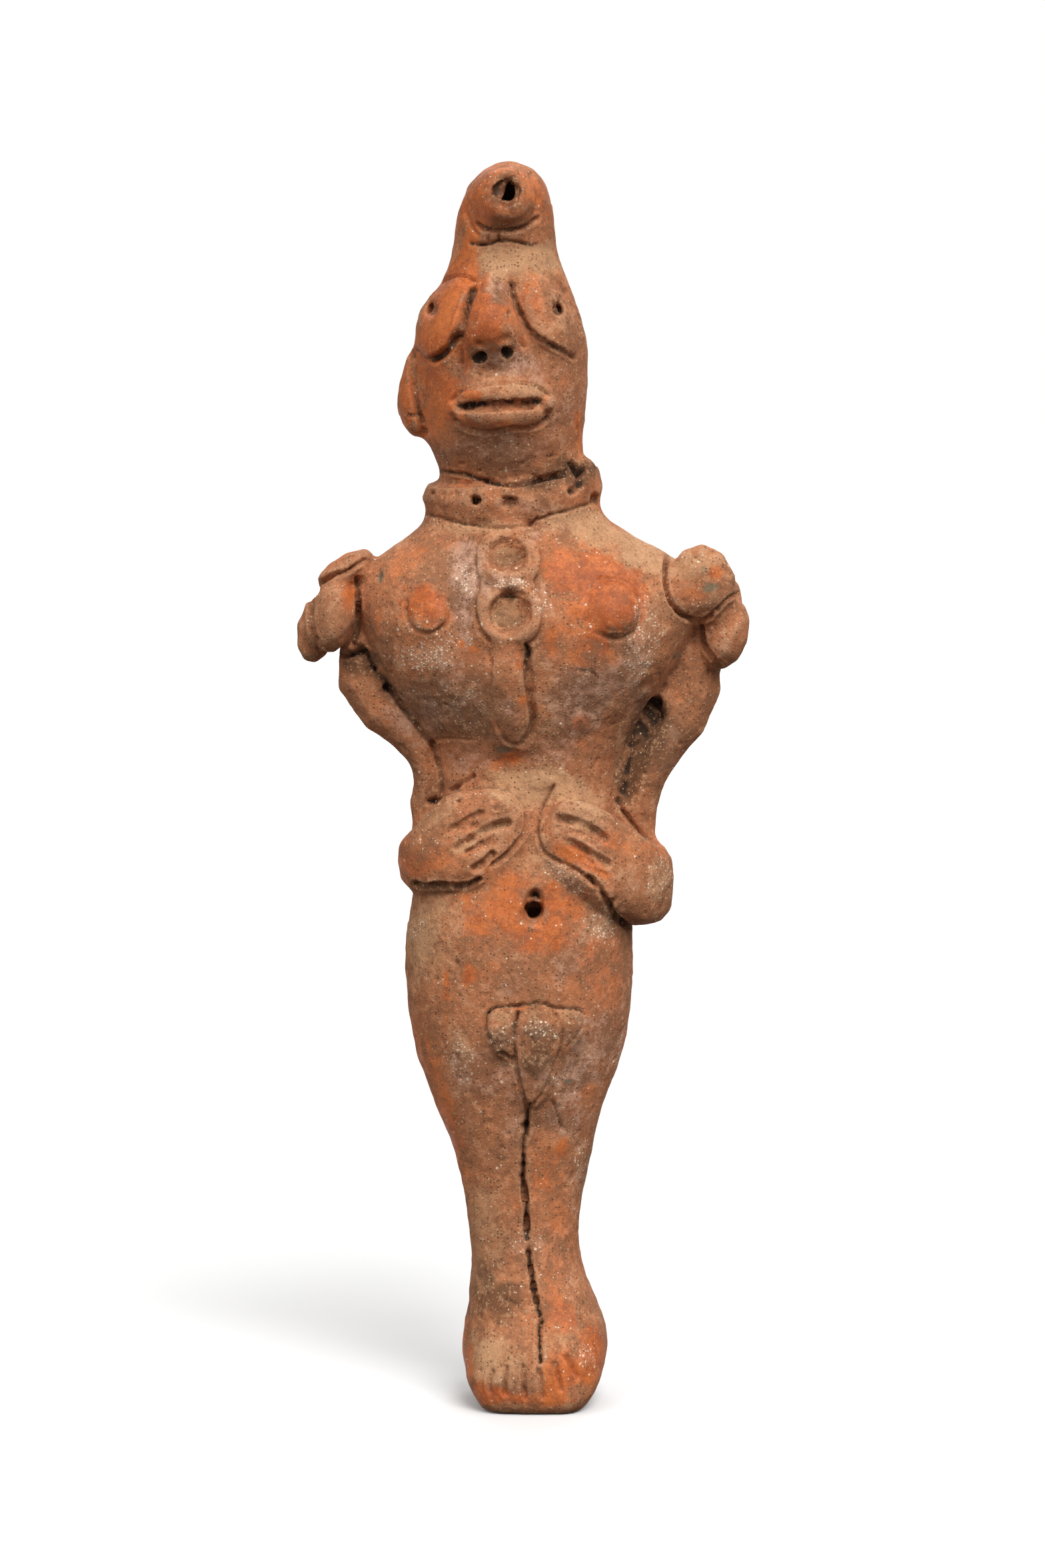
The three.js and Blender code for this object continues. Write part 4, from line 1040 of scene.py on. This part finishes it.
# Soil, and painted shade: the dabs at the left boss, along both arms, at the left wrist and under both hands
# darken joins, recesses and gaps where shade falls.
SOIL_AND_SHADE = {
    "topknot": [
        (757, 284, 26, 28, 0, 1.0), (760, 343, 40, 6, 0, 0.6), (765, 368, 55, 7, 0, 0.5),
        (756, 330, 40, 8, 0, 0.3),
    ],
    "left eye": [(688, 500, 10, 34, 22, 0.7)],
    "cheeks and jaw": [(770, 695, 100, 14, 3, 0.4), (680, 680, 20, 16, 0, 0.4)],
    "collar": [(862, 710, 32, 22, 0, 1.0), (810, 727, 44, 10, -6, 0.85), (800, 720, 6, 6, 0, 0.4)],
    "left boss": [
        (536, 960, 10, 30, 0, 0.6), (545, 992, 34, 14, 0, 0.85), (485, 985, 24, 10, 0, 0.5),
        (500, 925, 40, 50, 0, 0.3),
    ],
    "right boss": [(1070, 1000, 20, 14, 30, 0.5)],
    "left arm": [
        (612, 1066, 12, 30, -30, 0.4), (606, 1150, 24, 50, -10, 0.35), (540, 1060, 50, 60, 35, 0.25),
        (622, 1170, 24, 50, 0, 0.3), (575, 1025, 16, 26, -35, 0.8), (548, 1000, 24, 22, 0, 0.7),
    ],
    "left wrist": [(652, 1190, 14, 24, 0, 0.6)],
    "right arm": [
        (984, 1066, 22, 24, 0, 0.9), (968, 1104, 26, 46, 22, 1.0), (951, 1158, 24, 50, 10, 1.0),
        (962, 1240, 20, 10, 40, 0.4), (1006, 1120, 34, 60, 20, 0.4),
    ],
    "medallions and tongue": [(790, 985, 9, 16, 0, 0.8)],
    "ribs": [
        (690, 1060, 60, 40, 0, 0.55), (660, 1030, 40, 20, 0, 0.45), (892, 1040, 34, 30, 0, 0.3),
        (700, 1100, 50, 14, 0, 0.3), (860, 1010, 40, 10, 0, 0.35),
    ],
    "left hand": [(672, 1332, 60, 8, 0, 0.8)],
    "right hand": [(926, 1368, 14, 22, -30, 0.5), (950, 1388, 30, 10, 10, 0.5)],
    "apron": [
        (762, 1500, 50, 12, 0, 0.3), (750, 1560, 20, 26, 0, 0.75), (808, 1575, 26, 60, 4, 0.85),
        (852, 1548, 22, 26, 0, 0.6), (762, 1592, 14, 10, 0, 0.7),
    ],
    "thighs": [(830, 1680, 26, 20, 0, 0.5)],
    "shins": [(730, 1905, 30, 16, 0, 0.4)],
    "feet": [(750, 1950, 50, 32, 10, 0.85), (736, 1870, 34, 60, 0, 0.3), (818, 1960, 10, 30, 0, 0.4)],
}
GRAINS = {
    "left boss": [(500, 900, 16, 16, 0, 0.35)],
    "right boss": [(1030, 840, 30, 16, 0, 0.6), (1030, 910, 30, 12, 0, 0.5), (1100, 935, 16, 24, 0, 0.4)],
    "right arm": [(960, 1040, 20, 24, 0, 0.6)],
    "medallions and tongue": [(776, 872, 30, 14, 0, 1.0), (810, 900, 16, 34, 0, 0.9)],
    "left shoulder and breast": [
        (700, 870, 20, 24, 0, 0.7), (680, 945, 60, 10, 20, 0.5), (615, 940, 14, 16, 0, 0.8),
        (642, 985, 50, 24, 0, 1.0), (604, 890, 14, 10, 0, 0.5),
    ],
    "right shoulder and breast": [
        (965, 960, 26, 50, 10, 0.9), (960, 900, 10, 20, 0, 0.5), (880, 960, 30, 40, 0, 0.4),
    ],
    "ribs": [(690, 1050, 70, 40, 0, 0.5), (870, 1010, 40, 12, 0, 0.5)],
    "waist": [(860, 1160, 60, 20, 0, 0.35)],
    "left hand": [(640, 1270, 24, 18, 0, 0.4), (770, 1220, 40, 20, 0, 0.3), (600, 1240, 16, 16, 0, 0.3)],
    "right hand": [
        (985, 1310, 34, 34, 0, 0.7), (850, 1316, 40, 16, 25, 0.9), (905, 1395, 30, 34, 0, 0.9),
    ],
    "belly": [(618, 1390, 20, 30, 0, 0.6)],
    "apron": [(800, 1545, 40, 18, 0, 0.8), (760, 1560, 30, 30, 0, 0.6), (860, 1605, 60, 30, 0, 0.4)],
    "thighs": [
        (690, 1580, 20, 34, -20, 0.8), (890, 1540, 50, 30, 0, 0.3), (925, 1590, 14, 50, 10, 0.5),
        (720, 1720, 50, 60, 0, 0.25),
    ],
    "shins": [(875, 1745, 14, 36, 8, 0.6), (790, 1865, 24, 14, 0, 0.8)],
    "feet": [(880, 2035, 14, 20, 0, 0.9), (700, 2040, 8, 10, 0, 0.5)],
}
STAINS = {
    "left boss": [(570, 865, 5, 10, 20, 0.9)],
    "right boss": [
        (1056, 853, 6, 6, 0, 0.8), (1066, 884, 14, 9, 0, 0.9), (1018, 984, 7, 7, 0, 0.7),
        (1020, 876, 8, 6, 0, 0.4),
    ],
    "medallions and tongue": [(754, 1126, 14, 6, 0, 0.8)],
    "left shoulder and breast": [(648, 872, 12, 7, 0, 0.5)],
    "thighs": [(851, 1623, 9, 4, 0, 0.8), (786, 1657, 8, 4, 0, 0.6)],
}

BACK_PATCHES = {  # strength, size in millimetres, seed, and the noise where a patch starts and is full
    "burnish": (0.75, 13.0, 21, 0.55, 0.8),
    "buff_and_highlight": (0.6, 17.0, 22, 0.55, 0.85),
    "ash": (0.7, 15.0, 23, 0.5, 0.8),
    "grains": (0.5, 17.0, 22, 0.6, 0.9),
}
# A mark's soil also paints the mark's shade.
SOIL_AND_SHADE_EDGE = 0.6  # how wide the edge of a mark's soil is, as a share of the radius
SOIL_CLODS, CLODS_SEED = 0.9, 91  # millimetres between the clods of soil in a stroke, and their noise

maps = {
    "burnish": paint(BURNISH),
    "buff_and_highlight": paint(BUFF_AND_RIM_HIGHLIGHT, seed=31),
    "ash": paint(ASH, seed=41),
    "soil_and_shade": paint(SOIL_AND_SHADE, wobble_size=2.5, seed=51),
    "grains": paint(GRAINS, seed=61),
    "stains": paint(STAINS, wobble_size=1.5, seed=71),
}
unseen = 1 - ramp(skin.normals @ TO_CAMERA, -0.1, 0.45)
for name, (strength, size, seed, start, full) in BACK_PATCHES.items():
    patches = ramp(lattice(skin.points, size, seed), start, full)
    maps[name] = np.maximum(maps[name], unseen * strength * patches)
# Each stroke and prick is filled with soil and painted shade, as strongly as its mark asks.
for under, place, amount in marks:
    near, inside = under(*place)
    filled = amount * ramp(inside, 0.0, SOIL_AND_SHADE_EDGE)
    if under is under_stroke:
        filled *= 0.5 + lattice(skin.points[near], SOIL_CLODS, CLODS_SEED)
    maps["soil_and_shade"][near] = np.maximum(maps["soil_and_shade"][near], filled)
print({name: round(float(values.mean()), 3) for name, values in maps.items()})

# %% [markdown]
# Sand stands out of clay that was never rubbed, and burnishing presses it in. So the sand's relief is
# strong on the arms and the sides, and nearly nothing on the burnished patches. Here and there a grain has
# fallen out and left a pit.

# %% Sand in the skin
SAND_HEIGHT, SAND_PITS = 0.10, 0.22  # millimetres
SOLE_FLAT, SOLE_ROUGH = 0.4, 1.5  # heights up to which the sole stays flat and above which it is rough

sandy = np.clip(1 - 0.8 * maps["burnish"] + 0.5 * maps["soil_and_shade"] + 0.3 * maps["grains"], 0.15, 1.6)
sand = 0.6 * lattice(skin.points, 1.0, 81) + 0.4 * lattice(skin.points, 2.1, 82) - 0.5
pits = ramp(lattice(skin.points, 1.15, 83), 0.83, 0.95)
relief = sandy * (SAND_HEIGHT * 2 * sand - SAND_PITS * pits)
sole = ramp(skin.points[:, 2], SOLE_FLAT, SOLE_ROUGH)
skin.points = skin.points + skin.normals * (relief * sole)[:, None]
skin.write()

# %% [markdown]
# Soil stays in hollows and is rubbed off edges, and the hollows get painted shade as well. Both are found
# from the mesh: a point that lies deeper than the mean of the skin around it is in a hollow, and a point
# that stands out is an edge.

# %% Hollows and edges
def hollow_depth(rounds):
    """How deep each point lies under the mean of its surroundings, in millimetres."""
    return np.sum((skin.spread_points(rounds) - skin.points) * skin.normals, axis=1)


FINE_ROUNDS, BROAD_ROUNDS = 5, 40  # how far around a point its surroundings reach
fine, broad = hollow_depth(FINE_ROUNDS), hollow_depth(BROAD_ROUNDS)
maps["hollow"] = np.clip(0.75 * ramp(fine, 0.03, 0.28) + 0.4 * ramp(broad, 0.25, 1.1), 0, 1)
maps["edge"] = np.clip(ramp(-fine, 0.03, 0.2) + 0.6 * ramp(-broad, 0.15, 0.8), 0, 1)
for name, values in maps.items():
    idol.data.attributes.new(name, "FLOAT", "POINT").data.foreach_set("value", values.astype(np.float32))
idol.data.shade_smooth()
print("hollows", round(float(maps["hollow"].mean()), 3), "edges", round(float(maps["edge"].mean()), 3))

# %% [markdown]
# The material is built from those maps and from noise at several sizes. To keep the shader readable, a
# small class wraps a socket, so that sums on shader values are written as ordinary Python.

# %% Shader maths as Python
def blend(mask, first, second):
    """A colour that goes from the first to the second with the mask."""
    return Wire.node("Mix", {"data_type": "RGBA"}, {0: mask, 6: first, 7: second}, output=2)


class Wire:
    """An output socket of the material that can be added, multiplied and mixed."""

    tree = None

    def __init__(self, socket):
        self.socket = socket

    @classmethod
    def node(cls, kind, settings, inputs, output=0):
        """Adds a node, sets it up, joins or sets its inputs and gives one of its outputs."""
        made = cls.tree.nodes.new("ShaderNode" + kind)
        for name, value in settings.items():
            setattr(made, name, value)
        for name, value in inputs.items():
            if isinstance(value, Wire):
                cls.tree.links.new(value.socket, made.inputs[name])
            else:
                made.inputs[name].default_value = value
        return cls(made.outputs[output])

    def maths(self, operation, first, second):
        return Wire.node("Math", {"operation": operation}, {0: first, 1: second})

    def __add__(self, other):
        return self.maths("ADD", self, other)

    def __sub__(self, other):
        return self.maths("SUBTRACT", self, other)

    def __rsub__(self, other):
        return self.maths("SUBTRACT", other, self)

    def __mul__(self, other):
        return self.maths("MULTIPLY", self, other)

    __radd__ = __add__
    __rmul__ = __mul__

    def step(self, low, high):
        """0 below low, 1 above high and a soft S between them."""
        span = {"Value": self, "From Min": low, "From Max": high}
        return Wire.node("MapRange", {"interpolation_type": "SMOOTHSTEP"}, span)

    def tint(self, colour, mask):
        """This colour with another laid over it where the mask is 1."""
        return blend(mask, self, colour)

    def shade(self, factor):
        """This colour made darker or lighter by a factor."""
        return Wire.node("VectorMath", {"operation": "SCALE"}, {0: self, "Scale": factor})


def new_material(name):
    """An empty material with a Principled shader, and the shader."""
    material = bpy.data.materials.new(name)
    material.use_nodes = True
    Wire.tree = material.node_tree
    Wire.tree.nodes.clear()
    shader = Wire.tree.nodes.new("ShaderNodeBsdfPrincipled")
    output = Wire.tree.nodes.new("ShaderNodeOutputMaterial")
    Wire.tree.links.new(shader.outputs[0], output.inputs[0])
    return material, shader


def plug(wire, shader, name):
    Wire.tree.links.new(wire.socket, shader.inputs[name])


def cloud(size, detail, rough, stretch=(1, 1, 1)):
    """Noise from 0 to 1 in clouds of a size in millimetres, on the piece's own coordinates."""
    place = Wire.node("TexCoord", {}, {}, output="Object")
    placed = Wire.node("Mapping", {}, {"Vector": place, "Scale": stretch})
    return Wire.node(
        "TexNoise", {}, {"Vector": placed, "Scale": 1 / (size * MM), "Detail": detail, "Roughness": rough}
    )


def painted(name):
    """One of the maps that were painted on the mesh."""
    return Wire.node("Attribute", {"attribute_name": name}, {}, output="Fac")


def grain_dots(size, radius, share):
    """Round grains: one in each cell of a size in millimetres, in a share of the cells."""
    place = Wire.node("TexCoord", {}, {}, output="Object")
    cells = {"Vector": place, "Scale": 1 / (size * MM)}
    distance = Wire.node("TexVoronoi", {}, cells, output="Distance")
    colour = Wire.node("TexVoronoi", {}, cells, output="Color")
    chance = Wire.node("SeparateColor", {}, {"Color": colour}, output=0)
    return (1 - distance.step(radius * 0.6, radius)) * (chance + share).step(0.98, 1.0)


# %% [markdown]
# Low-fired clay is orange where it was burnished, brown where soil has soaked in, and buff where dust
# sticks. The layers go over each other: the body of the clay, the firing's ash tones, dust with one painted
# highlight strip, burnish, green stains, worn edges, soil and painted shade in the hollows, gaps and holes,
# and last the mineral grains. Roughness follows: burnish has a faint sheen and everything else is dry.

# %% The terracotta
CLAY_BROWN = (0.360, 0.150, 0.070, 1)
CLAY_ORANGE = (0.530, 0.190, 0.078, 1)
CLAY_PALE = (0.560, 0.296, 0.162, 1)
BURNISH_RED = (0.430, 0.092, 0.018, 1)
BURNISH_ORANGE = (0.620, 0.160, 0.034, 1)
ASH_MAUVE = (0.530, 0.295, 0.200, 1)
ASH_DARK = (0.240, 0.118, 0.066, 1)
BUFF_DUST_AND_HIGHLIGHT = (0.570, 0.305, 0.155, 1)
SOIL_AND_SHADE_BROWN = (0.110, 0.052, 0.024, 1)
DEEP_SOIL_AND_SHADOW = (0.030, 0.015, 0.008, 1)
GRAIN_WHITE = (0.950, 0.770, 0.580, 1)
GRAIN_GOLD = (0.700, 0.430, 0.220, 1)
STAIN_GREEN = (0.150, 0.150, 0.100, 1)

BUMP_HEIGHT = 0.11  # millimetres
CLAY_SPECULAR = 0.35

terracotta, shader = new_material("terracotta")

large = cloud(9.0, detail=4.0, rough=0.6)
middle = cloud(2.6, detail=4.0, rough=0.62)
small = cloud(0.8, detail=3.0, rough=0.6)
fine_grain = cloud(0.32, detail=2.0, rough=0.6)
wiped = cloud(2.2, detail=3.0, rough=0.6, stretch=(0.35, 0.35, 2.6))
broken = 1.1 * middle + 0.9 * small + 0.5 * fine_grain - 1.25

burnish, buff_and_highlight, ash = painted("burnish"), painted("buff_and_highlight"), painted("ash")
soil_and_shade, hollow, edge, grains = painted("soil_and_shade"), painted("hollow"), painted("edge"), painted("grains")

base = blend((large + 0.5 * broken).step(0.3, 0.7), CLAY_BROWN, CLAY_ORANGE)
base = base.tint(CLAY_PALE, 0.6 * (middle + 0.4 * broken).step(0.5, 0.8))
ash_mask = (ash + 0.8 * broken).step(0.1, 1.0)
base = base.tint(blend((middle + 0.6 * broken).step(0.3, 0.7), ASH_DARK, ASH_MAUVE), 0.9 * ash_mask)
# Buff dust, and the painted highlight strip along the body's right edge by the right arm.
buff_and_highlight_mask = (buff_and_highlight + 0.8 * broken).step(0.1, 1.0)
base = base.tint(BUFF_DUST_AND_HIGHLIGHT, 0.9 * buff_and_highlight_mask)
burnish_mask = (burnish + 1.6 * middle + 0.25 * small - 0.95).step(0.12, 0.9)
burnish_tone = blend((0.8 * large + 0.2 * wiped + 0.4 * broken).step(0.35, 0.65), BURNISH_RED, BURNISH_ORANGE)
base = base.tint(burnish_tone, 0.92 * burnish_mask)
base = base.tint(STAIN_GREEN, 0.7 * (painted("stains") + 0.8 * broken).step(0.3, 0.8))

base = base.tint(CLAY_PALE, 0.4 * (edge * (1 - soil_and_shade) - 0.6 * burnish_mask + 0.5 * broken).step(0.3, 1.0))
# Painted shade and silt in the creases and hollows, in the soil's brown, darker the deeper a point lies.
silt_and_crease_shade = (hollow + 0.8 * broken).step(0.25, 0.9)
base = base.tint(SOIL_AND_SHADE_BROWN, 0.5 * silt_and_crease_shade)
# Soil, and painted shade in the joins, gaps, recesses and marks.
soil_and_shade_mask = (soil_and_shade + 0.7 * broken).step(0.15, 1.0)
base = base.tint(SOIL_AND_SHADE_BROWN, 0.8 * soil_and_shade_mask)
base = base.tint(BUFF_DUST_AND_HIGHLIGHT, 0.6 * (soil_and_shade + hollow).step(0.2, 0.6) * small.step(0.52, 0.66))
# Near-black painted shadow, with soil, in the holes and the deepest gaps.
base = base.tint(DEEP_SOIL_AND_SHADOW, 0.86 * (soil_and_shade + 0.5 * hollow + 0.4 * broken).step(0.95, 1.4))

frost = (grains + 0.9 * broken).step(0.3, 1.1)
base = base.tint(GRAIN_WHITE, 0.10 * frost)
gold = grain_dots(0.5, radius=0.40, share=0.25)
flecks = grain_dots(0.78, radius=0.36, share=0.34 * frost)
white = grain_dots(0.40, radius=0.44, share=0.55 * frost + 0.004)
pores = grain_dots(0.55, radius=0.36, share=0.22 - 0.16 * burnish_mask)
base = base.tint(GRAIN_GOLD, 0.5 * gold * (1 - 0.7 * burnish_mask))
base = base.tint(SOIL_AND_SHADE_BROWN, 0.6 * pores)
base = base.tint(GRAIN_WHITE, 0.8 * white)
base = base.tint(GRAIN_WHITE, 0.75 * flecks)
base = base.shade(1 + 0.7 * (fine_grain - 0.5) + 0.5 * (small - 0.5) + 0.35 * (middle - 0.5))
plug(base, shader, "Base Color")
plug(0.88 - 0.30 * burnish_mask + 0.10 * (small - 0.5), shader, "Roughness")
shader.inputs["Specular IOR Level"].default_value = CLAY_SPECULAR

height = 0.7 * fine_grain + 0.6 * small + 0.1 * wiped - 0.7 * pores + 0.5 * gold + 0.5 * white
height = height * (1 - 0.55 * burnish_mask)
bump = Wire.node("Bump", {}, {"Height": height, "Strength": 0.9, "Distance": BUMP_HEIGHT * MM})
plug(bump, shader, "Normal")
idol.data.materials.append(terracotta)
print("terracotta:", len(Wire.tree.nodes), "nodes")

# %% [markdown]
# The idol rides on the only body and stands for the solid, which then isn't shown.

# %% The idol takes the solid's place
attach(idol, "root")
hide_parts("idol_figure")

# %% [markdown]
# A plain pale floor, wide enough to fill any view. It isn't part of the figure. It sends no light back up,
# because the photograph's undersides are dark.

# %% Floor
FLOOR_SIDE = 60  # metres
FLOOR_WHITE = (0.93, 0.93, 0.925, 1)

bpy.ops.mesh.primitive_plane_add(size=FLOOR_SIDE, location=(0, 0, 0))
floor = bpy.context.object
floor.name = "floor"
floor.visible_diffuse = False
pale, shader = new_material("pale_floor")
shader.inputs["Base Color"].default_value = FLOOR_WHITE
shader.inputs["Roughness"].default_value = 1.0
shader.inputs["Specular IOR Level"].default_value = 0.0
floor.data.materials.append(pale)

# %% [markdown]
# Soft studio light: a broad key from the front right and above, a weaker fill from the left, a dome from
# above, a faint light from the right side, a low one that keeps the undersides readable, and one from
# behind for the back. Each one is a sun with a wide angle, which lights the floor evenly as far as it
# reaches. The backdrop is white to the camera only.

# %% Lights
SUNS = {  # azimuth, elevation, strength and how many degrees wide the light is
    "key": (24, 48, 2.3, 34),
    "fill": (-48, 32, 0.9, 60),
    "dome": (0, 88, 0.9, 150),
    "side": (78, 38, 0.4, 30),
    "low": (0, -20, 0.42, 90),
    "behind": (176, 30, 1.3, 60),
}


def soft_sun(name, azimuth, elevation, strength, spread):
    """A broad light. Azimuth 0 is in front of the figure and 90 is to the viewer's right."""
    light = bpy.data.lights.new(name, "SUN")
    light.energy = strength
    light.angle = math.radians(spread)
    turned, raised = math.radians(azimuth), math.radians(elevation)
    towards = Vector(
        (math.sin(turned) * math.cos(raised), -math.cos(turned) * math.cos(raised), math.sin(raised))
    )
    lamp = bpy.data.objects.new(name, light)
    lamp.rotation_mode = "QUATERNION"
    lamp.rotation_quaternion = towards.to_track_quat("Z", "Y")
    bpy.context.scene.collection.objects.link(lamp)


for name, settings in SUNS.items():
    soft_sun(name, *settings)

world = bpy.data.worlds.new("studio")
bpy.context.scene.world = world
world.use_nodes = True
world.node_tree.nodes["Background"].inputs["Color"].default_value = (1, 1, 1, 1)
world.cycles_visibility.diffuse = False
world.cycles_visibility.glossy = False
